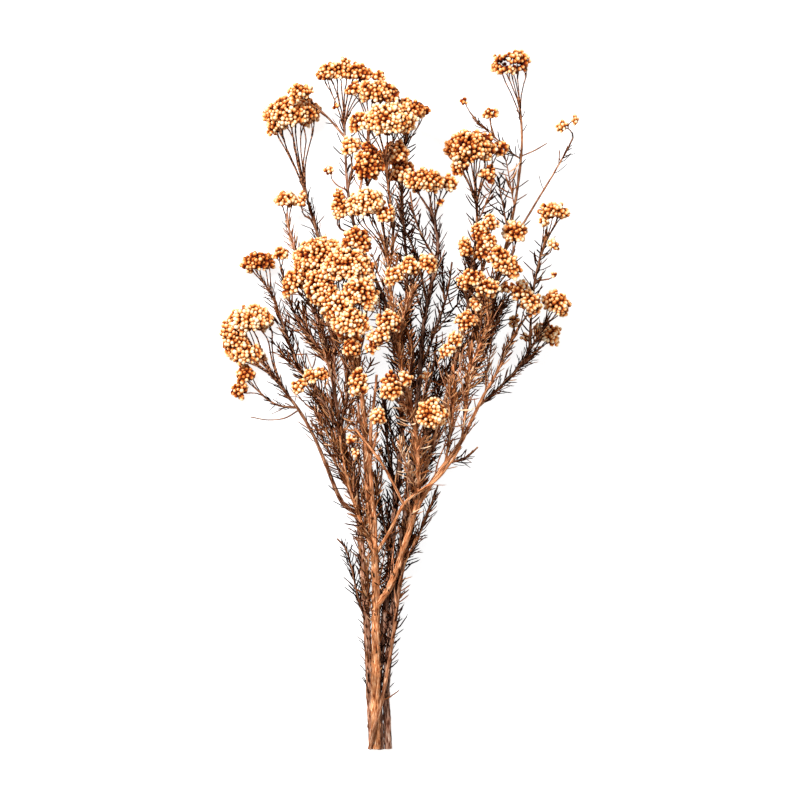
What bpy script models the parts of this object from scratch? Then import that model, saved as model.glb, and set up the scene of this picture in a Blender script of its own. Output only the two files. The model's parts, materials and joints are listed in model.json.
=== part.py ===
"""A bunch of preserved rice flower that lies on a flat surface: five leafy stems and their flower heads.

Metres, +Z up. +Y runs from the cut ends to the tips, +X is to the right of somebody looking down on it.
Routes and heads are written on a drawing sheet of 0.7 mm squares: x to the right, y downwards, and
beside them the height above the surface and the radius, both in mm.
"""

import math
import random

import bmesh
import bpy
import numpy as np
from mathutils import Vector, kdtree

SQUARE = 0.7  # mm in a square of the sheet
ORIGIN = (400.5, 399.0)  # the sheet's point above the part's origin
STEP = 2.0  # mm between the places where a twig is tested against the rest
SECTION = 23.0  # mm between the cross-sections of a twig
BUNDLE_Y = 560.0  # below this line of the sheet the stems lie side by side
BUNDLE_GAP = 0.3  # mm between stems in the bundle
OPEN_GAP = 1.4  # mm kept between twigs of two stems above it
STALK_GAP = 0.6  # mm kept between a twig and the stalks of a head that it doesn't carry
LOBE_GAP = 1.5  # mm kept between a twig and such a head
NEAR = 8.0  # mm within which twigs are tested against each other
ROUNDS = 60  # times that the twigs are bent clear
MOVE = 0.45  # share of the missing room by which a twig is bent at once
SPREAD = (1, 2, 3, 4, 3, 2, 1)  # weights with which a bend is spread along a twig
SHARP = 0.7  # share of a bend that stays where it is needed, if spreading would take more
HELD_START = 12  # steps over which a stem's cut end keeps its place
HELD_END = 4  # steps over which a twig's tip keeps its place
FOLLOW = 8  # steps over which a side twig follows the twig that carries it
HEAD_ROUNDS = 120  # times that the heads are moved apart
HEAD_GAP = 1.0  # mm between two heads
HEAD_MOVE = 3  # part of the missing room by which a head moves at once: one third
HEAD_STEP = 1.5  # mm, the most that a head moves at once
LOWEST = 0.86  # share of a lobe's half height that stays above the surface
ATTEMPTS = 12  # draws tried for a node until its union is free of slivers
WELDS = (3e-5, 1e-5, 3e-6, 1e-6)  # m, distances tried within which the union's points are made one
THIN = 0.003  # mm, the least height of a triangle
FOOT = 1.0  # mm, radius of the knot that a head's stalks grow from
JOINT_GAP = 0.3  # mm from a twig's end to that knot
STALK = 0.55  # mm, radius of a head's stalks
TWO_STALKS = 9.0  # mm, half the width from which a lobe has two stalks
STALK_APART = 0.5  # share of a lobe's half size at which two stalks end
STALK_REACH = -0.25  # share of its half height, from its middle, at which they end
STALK_BEND = (0.25, 0.3)  # where a stalk bends: this far along the twig's way, and towards the stalk's end
WANDER = 0.15  # mm by which the points of a stalk stray
BUD_AREA = 105.0  # mm2 of a head's face for each cluster of florets
FEWEST_BUDS = 6  # clusters on the smallest head
BUD_UNEVEN = 0.5  # mm by which some clusters stand less far out
VALLEY = 2.2  # mm from a head's outline down to its core
UNDERSIDE = -0.8  # below this share of its height a head is bare
CROWN = 1.24  # a head's upper half stands this much further out than an even one
BELLY = 0.76  # and its lower half this much less far
THINNEST = 0.4  # share of a head's size that its core keeps at least
FACE_POWER = 1.6  # power in the usual formula for the face of an ellipsoid
DEPTH = 0.78  # a head's depth over its width
NEEDLE = 0.45  # mm, radius of a needle
NEEDLE_LONG = (7.5, 13.0)  # mm, shortest and longest needle
NEEDLE_LEAN = (32.0, 58.0)  # degrees between needle and twig
NEEDLE_EVERY = 15.5  # mm of leafy twig for each needle
NEEDLE_TURN = 2.4  # radians round the twig from one needle to the next
NEEDLE_ROOM = 1.0  # mm between a needle and what grows on another stem
NEEDLE_OFF = 0.7  # mm between a needle and a head
FIRST_NEEDLE = 5.0  # mm from a twig's start to its first needle
SPARSE = 0.35  # density of the lowest needles
BARE_END = 9.0  # mm without needles below a head
LEAF_START = 700.0  # line of the sheet where the lowest needles grow
LEAF_FULL = 600.0  # line above which they stand at full density

BARK = (0.235, 0.105, 0.05, 1)
FLORET = (0.72, 0.27, 0.07, 1)

# name, node, twig it grows from, how leafy, route. The first point of a side twig has no height: it
# lies on the twig that carries it.
TWIGS = [
    ("front", "stem_front", "", 0.5, [
        (375.5, 750, 8.9, 3.3), (375.5, 720, 9.0, 3.3), (375.5, 690, 9.3, 3.2), (376, 650, 10, 3.1),
        (376, 610, 11.5, 3.0), (375, 560, 15, 2.7), (371, 525, 20, 2.4), (368, 490, 27, 2.2),
        (366, 450, 36, 2.0), (363, 405, 48, 1.8), (359, 368, 61, 1.5), (356, 342, 72, 1.2)]),
    ("front_b", "stem_front", "front", 0.5, [
        (376, 552, 1.9), (374.5, 524, 22, 1.8), (372, 492, 30, 1.6), (370, 462, 40, 1.4), (371, 430, 52, 1.2),
        (374, 402, 62, 1.0), (377, 375, 70, 0.8)]),
    ("front_c", "stem_front", "front", 0.6, [
        (375, 556, 1.3), (366, 534, 21, 1.25), (358, 514, 25, 1.2), (350, 488, 29, 1.1), (343, 460, 34, 0.9),
        (340, 436, 38, 0.7)]),
    ("cross", "stem_front", "front", 0.3, [
        (377, 556, 1.2), (391, 529, 27, 1.15), (404, 504, 36, 1.1), (420, 491, 42, 1.05), (437, 479, 46, 1.0),
        (451, 462, 49, 0.9), (461, 446, 51, 0.7)]),
    ("cross_b", "stem_front", "cross", 0.3, [
        (404, 504, 1.0), (393, 483, 44, 0.95), (381, 462, 52, 0.9), (368, 445, 57, 0.8), (355, 428, 60, 0.6)]),
    ("aq", "stem_front", "front", 0.0, [(360, 375, 1.0), (354, 366, 74, 0.8), (353, 360, 82, 0.7)]),
    ("ar", "stem_front", "front", 0.3, [(365, 440, 1.0), (360, 420, 56, 0.9), (358, 402, 66, 0.7)]),
    ("ak", "stem_front", "front", 0.6, [
        (362, 398, 1.2), (352, 355, 62, 1.1), (343, 320, 68, 1.0), (340, 300, 74, 0.8)]),
    ("aw", "stem_front", "front", 0.3, [(367, 468, 1.0), (373, 450, 46, 0.9), (377, 432, 60, 0.7)]),
    ("bit_b", "stem_front", "front", 0.0, [(366, 462, 0.7), (361, 460, 41, 0.6)]),
    ("fork", "stem_front", "front", 0.5, [
        (377, 606, 2.4), (388, 590, 15, 2.3), (396, 572, 18, 2.2), (403, 550, 22, 2.1), (409, 532, 26, 2.0),
        (415, 512, 30, 1.9), (424, 495, 34, 1.8), (437, 475, 38, 1.7), (448, 460, 41, 1.6),
        (462, 440, 43, 1.4), (474, 415, 45, 1.2), (484, 395, 46, 1.1), (497, 372, 46, 1.0),
        (508, 348, 46, 0.9), (518, 328, 45, 0.8)]),
    ("ad", "stem_front", "fork", 1.0, [
        (478, 406, 1.0), (500, 387, 36, 0.95), (516, 371, 28, 0.9), (530, 358, 17, 0.85), (541, 347, 9, 0.8)]),
    ("ac", "stem_front", "ad", 0.8, [
        (516, 371, 0.8), (530, 350, 25, 0.8), (543, 328, 24, 0.75), (550, 316, 24, 0.7)]),
    ("ae", "stem_front", "fork", 0.5, [(506, 353, 0.8), (511, 342, 36, 0.7), (514, 334, 30, 0.65)]),
    ("af", "stem_front", "ad", 0.3, [(530, 358, 0.8), (527, 347, 19, 0.7)]),
    ("s", "stem_front", "ac", 1.0, [
        (530, 350, 0.9), (531, 320, 29, 0.9), (534, 287, 28, 0.85), (541, 255, 27, 0.8), (549, 232, 26, 0.7)]),
    ("t", "stem_front", "s", 0.0, [(541, 257, 0.7), (548, 254, 30, 0.65)]),
    ("bit_e", "stem_front", "s", 0.0, [(536, 280, 0.6), (549, 279, 31, 0.55)]),
    ("rise", "stem_front", "fork", 0.9, [
        (414, 514, 1.7), (418, 490, 38, 1.6), (417, 445, 52, 1.5), (412, 410, 64, 1.4), (405, 380, 72, 1.3),
        (398, 340, 79, 1.2), (393, 310, 83, 1.1), (389, 280, 85, 1.05), (386, 250, 87, 0.95),
        (380, 236, 89, 0.8)]),
    ("e", "stem_front", "rise", 0.6, [
        (389, 275, 1.0), (393, 245, 80, 0.95), (392, 215, 77, 0.9), (388, 185, 80, 0.85), (386, 160, 86, 0.8),
        (387, 148, 88, 0.75)]),
    ("ap", "stem_front", "rise", 0.3, [(399, 345, 0.9), (394, 341, 88, 0.8)]),
    ("as", "stem_front", "rise", 0.3, [(412, 411, 0.9), (404, 405, 73, 0.8), (398, 403, 79, 0.7)]),
    ("at", "stem_front", "rise", 0.3, [(417, 450, 0.9), (422, 441, 62, 0.8), (426, 435, 69, 0.7)]),
    ("au", "stem_front", "rise", 0.6, [
        (399, 345, 1.0), (404, 315, 86, 0.9), (409, 297, 91, 0.8), (411, 286, 94, 0.7)]),
    ("av", "stem_front", "fork", 0.9, [
        (446, 463, 1.0), (452, 420, 48, 0.95), (454, 385, 55, 0.85), (453, 364, 60, 0.7)]),
    ("z", "stem_front", "fork", 0.9, [
        (462, 440, 1.0), (467, 400, 50, 0.95), (470, 360, 58, 0.9), (472, 340, 64, 0.7)]),
    ("y", "stem_front", "z", 0.8, [
        (469, 370, 0.9), (480, 345, 64, 0.9), (488, 322, 72, 0.8), (486, 309, 78, 0.7)]),
    ("shoot_low", "stem_front", "fork", 1.0, [
        (398, 568, 0.9), (411, 551, 20, 0.9), (422, 528, 24, 0.8), (433, 500, 28, 0.7), (438, 485, 30, 0.6)]),
    ("shoot_side", "stem_front", "fork", 1.0, [(446, 463, 0.9), (465, 458, 38, 0.8), (478, 447, 36, 0.6)]),

    ("left", "stem_left", "", 0.9, [
        (372.5, 750, 2.3, 2.7), (371, 720, 2.3, 2.7), (369.5, 690, 2.5, 2.6), (367, 630, 5, 2.5),
        (363, 570, 9, 2.4), (360, 530, 13, 2.2), (356, 490, 19, 2.0), (349, 465, 24, 1.8), (343, 440, 29, 1.6),
        (337, 410, 34, 1.5), (333, 380, 38, 1.4), (328, 350, 41, 1.3), (320, 325, 43, 1.2), (308, 298, 43, 1.1),
        (300, 270, 41, 1.0), (293, 243, 37, 0.9), (288, 225, 33, 0.8), (287, 213, 30, 0.7)]),
    ("left_outer", "stem_left", "left", 0.8, [
        (358, 515, 1.7), (345, 506, 16, 1.6), (337, 493, 17, 1.5), (331, 478, 18, 1.4), (322, 455, 19, 1.3),
        (313, 435, 20, 1.2), (300, 412, 21, 1.1), (285, 392, 19, 1.0), (274, 377, 16, 0.9), (267, 367, 14, 0.8)]),
    ("an", "stem_left", "left_outer", 0.3, [
        (297, 408, 0.9), (280, 406, 14, 0.8), (268, 400, 9, 0.75), (260, 393, 7, 0.7)]),
    ("ag", "stem_left", "left", 0.8, [
        (337, 408, 1.1), (320, 392, 31, 1.05), (304, 375, 29, 1.0), (292, 352, 28, 0.95), (283, 325, 27, 0.9),
        (273, 298, 19, 0.85), (263, 281, 12, 0.7)]),
    ("ah", "stem_left", "left", 0.8, [
        (331, 366, 1.0), (316, 350, 37, 0.95), (303, 330, 36, 0.9), (294, 312, 35, 0.85), (286, 290, 34, 0.8),
        (282, 272, 34, 0.7)]),
    ("a", "stem_left", "left", 0.8, [
        (322, 330, 1.1), (326, 300, 45, 1.05), (325, 270, 42, 1.0), (319, 240, 38, 0.95), (312, 215, 35, 0.9),
        (306, 195, 32, 0.85), (301, 178, 29, 0.8)]),
    ("l", "stem_left", "a", 0.0, [(313, 220, 0.7), (305, 216, 42, 0.65)]),
    ("ao", "stem_left", "left", 0.5, [
        (343, 442, 1.0), (334, 422, 40, 0.9), (325, 404, 50, 0.8), (318, 397, 54, 0.7)]),
    ("ai", "stem_left", "left", 0.8, [
        (333, 382, 1.1), (334, 350, 46, 1.0), (329, 320, 51, 0.9), (323, 300, 55, 0.8), (321, 291, 57, 0.7)]),
    ("aj", "stem_left", "ai", 0.5, [
        (334, 350, 0.9), (346, 320, 54, 0.9), (353, 290, 60, 0.8), (356, 264, 68, 0.7)]),
    ("shoot_a", "stem_left", "left", 1.0, [
        (357, 500, 1.0), (345, 482, 24, 0.9), (331, 455, 27, 0.8), (318, 432, 29, 0.7), (310, 420, 30, 0.6)]),
    ("shoot_b", "stem_left", "left", 1.0, [
        (366, 622, 0.9), (358, 598, 9, 0.8), (353, 575, 11, 0.7), (346, 550, 12, 0.65), (337, 539, 13, 0.6)]),
    ("shoot_g", "stem_left", "left", 1.0, [
        (352, 478, 1.0), (341, 450, 30, 0.95), (329, 425, 33, 0.9), (317, 402, 35, 0.8), (305, 384, 36, 0.6)]),
    ("shoot_h", "stem_left", "left", 1.0, [
        (340, 428, 1.0), (346, 400, 40, 0.9), (347, 370, 46, 0.8), (343, 345, 52, 0.6)]),
    ("shoot_i", "stem_left", "left", 1.0, [
        (330, 362, 0.9), (314, 342, 44, 0.8), (305, 320, 46, 0.7), (302, 300, 48, 0.6)]),
    ("stray", "stem_left", "left_outer", 0.0, [
        (299, 411, 0.6), (285, 418, 17, 0.5), (268, 420, 14, 0.45), (250, 417, 11, 0.4)]),

    ("back", "stem_back", "", 0.8, [
        (380.4, 750, 2.3, 2.7), (379, 720, 2.3, 2.7), (378, 690, 2.5, 2.6), (381, 650, 3.6, 2.6),
        (385, 615, 5, 2.5), (389, 575, 8, 2.4), (393, 530, 12, 2.2), (398, 480, 18, 2.0), (401, 440, 25, 1.8),
        (402, 400, 33, 1.6), (400, 360, 41, 1.5), (392, 320, 47, 1.4), (380, 290, 51, 1.3), (368, 262, 53, 1.2),
        (358, 235, 54, 1.15), (351, 212, 54, 1.1), (347, 180, 52, 1.0), (345, 140, 47, 0.9),
        (344, 115, 43, 0.85), (344, 104, 41, 0.8)]),
    ("c", "stem_back", "back", 0.7, [
        (353, 218, 0.95), (361, 185, 57, 0.9), (366, 150, 60, 0.85), (370, 125, 61, 0.8), (372, 112, 61, 0.7)]),
    ("j", "stem_back", "back", 0.0, [(357, 232, 0.8), (347, 232, 58, 0.75), (340, 229, 64, 0.7)]),
    ("f", "stem_back", "back", 0.3, [(348, 190, 0.7), (352, 172, 66, 0.7), (352, 164, 72, 0.65)]),
    ("g", "stem_back", "c", 0.0, [(360, 190, 0.8), (365, 190, 68, 0.75), (367, 188, 74, 0.7)]),
    ("d", "stem_back", "back", 0.8, [
        (401, 368, 1.1), (405, 320, 41, 1.0), (407, 270, 41, 1.0), (404, 230, 43, 0.95), (402, 190, 46, 0.9),
        (404, 155, 48, 0.85), (408, 130, 50, 0.7)]),
    ("h", "stem_back", "d", 0.4, [(403, 222, 0.85), (401, 205, 54, 0.8), (402, 192, 60, 0.7)]),
    ("a2", "stem_back", "back", 0.3, [
        (345, 138, 0.8), (331, 121, 42, 0.75), (320, 110, 37, 0.7), (314, 104, 34, 0.65)]),
    ("shoot_k", "stem_back", "back", 1.0, [
        (396, 500, 1.0), (391, 470, 17, 0.95), (387, 440, 22, 0.9), (386, 410, 27, 0.8), (383, 380, 32, 0.6)]),
    ("shoot_l", "stem_back", "back", 1.0, [
        (401, 430, 1.0), (410, 400, 28, 0.9), (413, 370, 32, 0.8), (412, 340, 36, 0.7), (410, 315, 39, 0.6)]),
    ("shoot_m", "stem_back", "back", 1.0, [
        (390, 566, 0.9), (387, 540, 12, 0.85), (382, 515, 15, 0.8), (378, 492, 18, 0.7), (375, 470, 20, 0.6)]),
    ("bit_d", "stem_back", "back", 0.0, [(347, 192, 0.6), (338, 186, 51, 0.55), (333, 181, 50, 0.55)]),

    ("right", "stem_right", "", 0.8, [
        (388.3, 750, 2.3, 2.7), (387, 720, 2.3, 2.7), (386, 690, 2.5, 2.6), (389, 650, 4, 2.6), (393, 610, 6, 2.5),
        (398, 565, 10, 2.3), (405, 520, 15, 2.1), (411, 470, 22, 2.0), (416, 420, 32, 1.8), (420, 370, 42, 1.7),
        (423, 330, 50, 1.5), (428, 300, 55, 1.4), (434, 272, 60, 1.3), (438, 250, 65, 1.2), (435, 225, 71, 1.1),
        (431, 208, 76, 0.9)]),
    ("bit_a", "stem_right", "right", 0.0, [(419, 388, 0.7), (423, 383, 47, 0.6)]),
    ("shoot_c", "stem_right", "right", 1.0, [
        (427, 303, 1.0), (420, 270, 52, 0.9), (412, 245, 54, 0.8), (404, 228, 55, 0.7), (396, 200, 56, 0.6)]),
    ("shoot_d", "stem_right", "right", 1.0, [
        (436, 262, 0.8), (424, 240, 62, 0.75), (414, 215, 64, 0.7), (410, 192, 65, 0.6)]),
    ("shoot_e", "stem_right", "right", 1.0, [
        (420, 372, 1.0), (430, 345, 43, 0.9), (440, 318, 45, 0.8), (448, 290, 46, 0.7), (452, 262, 46, 0.6)]),
    ("shoot_o", "stem_right", "right", 1.0, [
        (405, 520, 1.0), (417, 492, 17, 0.95), (426, 465, 20, 0.9), (433, 440, 22, 0.8), (438, 420, 24, 0.6)]),
    ("shoot_q", "stem_right", "right", 1.0, [
        (417, 412, 1.0), (428, 388, 34, 0.9), (434, 362, 37, 0.8), (437, 335, 40, 0.6)]),
    ("shoot_f", "stem_right", "right", 1.0, [
        (411, 470, 1.0), (421, 445, 25, 0.9), (431, 418, 27, 0.8), (438, 392, 28, 0.7), (443, 365, 29, 0.6)]),

    ("slender", "stem_slender", "", 0.6, [
        (369.5, 750, 12.2, 1.3), (374, 730, 15.4, 1.3), (381, 705, 12.8, 1.3), (386, 680, 8.0, 1.35),
        (391, 650, 8.4, 1.4), (394, 630, 9.4, 1.4), (398, 598, 12, 1.5), (403, 565, 15, 1.5), (408, 535, 19.5, 1.6),
        (414, 505, 23.5, 1.6), (425, 470, 29, 1.6), (440, 420, 36, 1.5), (452, 375, 41, 1.4), (462, 335, 43, 1.3),
        (470, 295, 44, 1.2), (475, 250, 44, 1.1), (477, 215, 43, 1.0), (475, 190, 42, 0.8)]),
    ("n", "stem_slender", "slender", 0.6, [
        (444, 407, 1.2), (460, 393, 37, 1.2), (471, 375, 36, 1.2), (481, 350, 35, 1.15), (490, 320, 34, 1.1),
        (498, 280, 33, 1.05), (505, 250, 32, 1.0), (512, 220, 30, 1.0), (518, 185, 28, 0.95), (522, 145, 24, 0.9),
        (521, 115, 18, 0.85), (519, 96, 13, 0.8)]),
    ("shoot_r", "stem_slender", "slender", 1.0, [
        (452, 375, 1.0), (461, 352, 38, 0.9), (476, 330, 38, 0.8), (484, 306, 38, 0.6)]),
    ("shoot_s", "stem_slender", "n", 1.0, [
        (480, 352, 0.9), (476, 325, 28, 0.85), (478, 298, 28, 0.8), (475, 272, 28, 0.7), (468, 252, 28, 0.6)]),
    ("o", "stem_slender", "n", 0.0, [
        (521, 160, 0.6), (508, 150, 27, 0.6), (495, 137, 28, 0.55), (480, 124, 29, 0.55), (470, 112, 30, 0.55)]),
    ("p", "stem_slender", "o", 0.0, [(495, 137, 0.55), (492, 128, 27, 0.55)]),
    ("bare", "stem_slender", "n", 0.0, [(522, 156, 0.55), (535, 150, 24, 0.5), (547, 143, 22, 0.4)]),
    ("r", "stem_slender", "n", 0.5, [
        (505, 252, 0.8), (523, 224, 29, 0.75), (540, 196, 26, 0.7), (554, 173, 23, 0.65), (566, 152, 20, 0.6),
        (573, 138, 18, 0.55)]),
    ("u", "stem_slender", "n", 0.3, [(499, 278, 0.8), (508, 264, 42, 0.75), (513, 252, 46, 0.7)]),
    ("v", "stem_slender", "slender", 0.5, [(470, 296, 0.9), (478, 284, 52, 0.85), (482, 272, 57, 0.7)]),
    ("w", "stem_slender", "slender", 0.4, [(468, 305, 0.8), (464, 287, 54, 0.75), (465, 270, 62, 0.7)]),
    ("x", "stem_slender", "slender", 0.5, [
        (463, 332, 0.8), (478, 316, 50, 0.8), (490, 298, 56, 0.75), (497, 284, 60, 0.7)]),
    ("aa", "stem_slender", "n", 0.3, [
        (466, 383, 0.85), (481, 363, 41, 0.8), (492, 336, 44, 0.75), (500, 312, 47, 0.7), (504, 299, 48, 0.6)]),
]

# node, twig that carries it, lobes. A lobe: middle on the sheet, height above the surface, width, how far
# it stands along its own axis, and that axis in degrees clockwise from straight up the sheet.
HEADS = [
    ("head_01", "a", [(291, 111, 14, 58, 33, -6), (276, 124, 14, 26, 19, -35)]),
    ("head_02", "a2", [(299, 92, 32, 25, 20, -20)]),
    ("head_03", "back", [(332, 71, 40, 34, 21, -8), (358, 72, 42, 30, 20, 5), (378, 76, 42, 15, 12, 20),
                         (345, 62, 42, 11, 10, 0), (336, 106, 46, 7, 7, -30)]),
    ("head_04", "c", [(379, 92, 60, 42, 22, 8), (354, 89, 58, 18, 14, -15)]),
    ("head_05", "d", [(408, 109, 52, 47, 20, 4)]),
    ("head_06", "e", [(390, 121, 92, 50, 31, 2), (360, 123, 90, 22, 18, -30)]),
    ("head_07", "f", [(351, 147, 78, 21, 19, -10)]),
    ("head_08", "g", [(369, 163, 82, 26, 37, 3)]),
    ("head_09", "h", [(402, 172, 66, 22, 22, 8), (396, 153, 74, 24, 22, -5)]),
    ("head_10", "right", [(425, 181, 84, 41, 25, 4), (449, 184, 78, 20, 17, 20), (440, 203, 76, 8, 8, 40)]),
    ("head_11", "j", [(339, 206, 72, 16, 32, -4)]),
    ("head_12", "rise", [(366, 204, 97, 40, 29, -6), (386, 215, 97, 22, 21, 20)]),
    ("head_13", "l", [(302, 200, 46, 10, 16, 0)]),
    ("head_14", "left", [(286, 199, 28, 26, 18, -4)]),
    ("head_15", "n", [(511, 62, 10, 41, 25, -6)]),
    ("head_16", "o", [(463, 101, 30, 9, 9, -30)]),
    ("head_17", "p", [(490, 113, 26, 14, 11, 0)]),
    ("head_18", "slender", [(470, 147, 42, 52, 32, -4), (459, 166, 44, 20, 17, -60), (489, 174, 42, 17, 15, 40),
                            (500, 149, 38, 13, 15, 30)]),
    ("head_19", "r", [(562, 126, 16, 12, 10, -50), (576, 120, 16, 8, 11, 5)]),
    ("head_20", "s", [(554, 210, 24, 33, 18, 4), (544, 221, 25, 13, 12, -40)]),
    ("head_21", "t", [(554, 245, 32, 14, 11, 30)]),
    ("head_22", "u", [(515, 231, 50, 25, 24, 0)]),
    ("head_23", "v", [(490, 223, 66, 15, 12, 10), (480, 233, 64, 16, 15, -30), (488, 241, 66, 17, 15, 20),
                      (482, 253, 62, 15, 14, -10)]),
    ("head_24", "w", [(465, 247, 70, 16, 23, -4)]),
    ("head_25", "x", [(497, 256, 66, 20, 17, -30), (508, 267, 66, 26, 20, 30)]),
    ("head_26", "y", [(470, 279, 84, 24, 16, -30), (486, 288, 82, 20, 18, 20)]),
    ("head_27", "z", [(480, 304, 70, 18, 17, 25), (465, 321, 68, 17, 17, -40)]),
    ("head_28", "aa", [(505, 288, 51, 11, 10, 10)]),
    ("head_29", "fork", [(520, 291, 46, 18, 16, -20), (531, 303, 44, 20, 18, 35)]),
    ("head_30", "ac", [(557, 303, 24, 31, 20, 25)]),
    ("head_31", "ad", [(548, 333, 6, 25, 19, 25)]),
    ("head_32", "ae", [(515, 321, 27, 11, 15, 0)]),
    ("head_33", "af", [(525, 337, 20, 8, 8, 0)]),
    ("head_34", "ag", [(257, 261, 9, 35, 21, -10)]),
    ("head_35", "ah", [(281, 254, 34, 18, 14, 0)]),
    ("head_36", "ai", [(320, 258, 64, 53, 38, -10), (294, 282, 66, 28, 18, -45)]),
    ("head_37", "aj", [(357, 241, 78, 28, 23, 10)]),
    ("head_38", "ak", [(349, 266, 88, 47, 28, 4), (320, 289, 84, 27, 32, -30)]),
    ("head_39", "front", [(361, 294, 100, 33, 27, 15), (336, 306, 98, 28, 28, -40), (351, 322, 98, 33, 26, 5)]),
    ("head_40", "left_outer", [(250, 319, 11, 44, 25, -5), (233, 338, 11, 23, 36, -15), (246, 354, 11, 34, 18, 0)]),
    ("head_41", "an", [(245, 374, 6, 22, 19, -20), (238, 390, 5, 18, 17, -60)]),
    ("head_42", "ao", [(299, 386, 57, 17, 15, -40), (317, 375, 59, 26, 16, -5)]),
    ("head_43", "ap", [(389, 322, 98, 24, 19, 10), (379, 337, 98, 22, 16, -30), (371, 349, 95, 7, 7, -60)]),
    ("head_44", "aq", [(353, 346, 90, 16, 22, 0)]),
    ("head_45", "ar", [(358, 383, 76, 17, 28, 0)]),
    ("head_46", "as", [(391, 386, 86, 23, 32, -12), (406, 378, 86, 13, 13, 40)]),
    ("head_47", "at", [(431, 414, 80, 33, 32, 8)]),
    ("head_48", "au", [(428, 263, 102, 23, 20, 30), (410, 267, 102, 22, 19, 0), (394, 277, 100, 21, 17, -40)]),
    ("head_49", "av", [(455, 339, 66, 15, 14, 10), (447, 350, 65, 14, 13, -40)]),
    ("head_50", "aw", [(378, 416, 70, 17, 18, 0)]),
    ("head_51", "bit_a", [(425, 376, 50, 8, 8, 20)]),
    ("head_52", "bit_b", [(357, 453, 45, 9, 8, -30), (351, 440, 49, 10, 9, -20)]),
    ("head_53", "bit_d", [(328, 170, 48, 10, 12, -20)]),
    ("head_54", "bit_e", [(555, 275, 32, 7, 7, 60)]),
]


def on_sheet(x, y, z):
    return np.array([(x - ORIGIN[0]) * SQUARE, (ORIGIN[1] - y) * SQUARE, z])


def resampled(line, step):
    """The same line with its points evenly spaced, each with the radius there."""
    along = np.concatenate([[0], np.cumsum(np.linalg.norm(np.diff(line[:, :3], axis=0), axis=1))])
    places = np.linspace(0, along[-1], max(2, int(round(along[-1] / step)) + 1))
    return np.stack([np.interp(places, along, line[:, k]) for k in range(4)], axis=1)


def smooth_line(points):
    """Points every STEP mm on a smooth line through the given ones."""
    points = np.array(points, float)
    ends = np.vstack([2 * points[0] - points[1], points, 2 * points[-1] - points[-2]])
    found = []
    for a, b, c, d in zip(ends, ends[1:], ends[2:], ends[3:]):
        for t in np.linspace(0, 1, 12, endpoint=False):
            found.append(b + 0.5 * t * (c - a + t * (2 * a - 5 * b + 4 * c - d + t * (3 * (b - c) + d - a))))
    return resampled(np.array(found + [points[-1]]), STEP)


def lobes_of(rows, lift=0.0):
    """Each lobe's middle, axes (across, along, deep) and half sizes in mm."""
    lobes = []
    for x, y, z, across, along, turn in rows:
        turn = math.radians(turn)
        axes = np.array([[math.cos(turn), -math.sin(turn), 0], [math.sin(turn), math.cos(turn), 0], [0, 0, 1]])
        half = np.array([across, along, DEPTH * max(across, 0.8 * along)]) * SQUARE / 2
        lobes.append((on_sheet(x, y, z + lift), axes, half))
    return lobes


def extents(lobe):
    _, axes, half = lobe
    return np.sqrt(((axes.T * half) ** 2).sum(axis=1))


def settled_heads():
    """How far each head is lifted or lowered so that no two share a place."""
    lobes = [(i, lobe) for i, (_, _, rows) in enumerate(HEADS) for lobe in lobes_of(rows)]
    owner = np.array([i for i, _ in lobes])
    middle = np.array([lobe[0] for _, lobe in lobes])
    reach = np.array([extents(lobe) for _, lobe in lobes])
    lift = np.zeros(len(HEADS))
    lowest = np.array([LOWEST * reach[owner == i, 2].max() - middle[owner == i, 2].min() for i in range(len(HEADS))])
    for _ in range(HEAD_ROUNDS):
        lift = np.maximum(lift, lowest)
        z = middle[:, 2] + lift[owner]
        push = np.zeros(len(HEADS))
        for i in range(len(lobes)):
            total = reach[i] + reach
            flat = 1 - (((middle[i, :2] - middle[:, :2]) / total[:, :2]) ** 2).sum(axis=1)
            need = total[:, 2] * np.sqrt(np.maximum(flat, 0)) + HEAD_GAP
            apart = z[i] - z + 1e-6 * (i - np.arange(len(lobes)))
            close = (flat > 0) & (np.abs(apart) < need) & (owner != owner[i])
            for j in np.nonzero(close)[0]:
                push[owner[i]] += np.sign(apart[j]) * (need[j] - abs(apart[j])) / HEAD_MOVE
        if not push.any():
            break
        lift += np.clip(push, -HEAD_STEP, HEAD_STEP)
    return np.maximum(lift, lowest)


def stalks_of(foot, way, lobes, rng):
    """The lines from a head's knot up into its lobes."""
    found = []
    for middle, axes, half in lobes:
        count = 1 if half[0] < TWO_STALKS else 2
        for k in range(count):
            spread = 0.0 if count == 1 else STALK_APART
            angle = 2 * math.pi * (k + 0.25) / count + rng.uniform(-0.3, 0.3)
            end = middle + axes.T @ (half * (spread * math.cos(angle), STALK_REACH, spread * math.sin(angle)))
            bend = foot + way * STALK_BEND[0] * np.linalg.norm(end - foot) + STALK_BEND[1] * (end - foot)
            found.append(np.array([foot, bend, end]))
    return found


def pushed_off(points, radii, lobe, margin):
    """How far up or down each point has to go to be clear of a lobe."""
    middle, axes, half = lobe
    room = half + margin
    local = (points - middle) @ axes.T / (room + radii[:, None])
    flat = np.sqrt(np.maximum(1 - local[:, 0] ** 2 - local[:, 1] ** 2, 0))
    side = np.where(local[:, 2] >= 0, 1, -1)
    return np.where((local**2).sum(axis=1) < 1, side * (flat - np.abs(local[:, 2])) * (room[2] + radii), 0)


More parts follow.
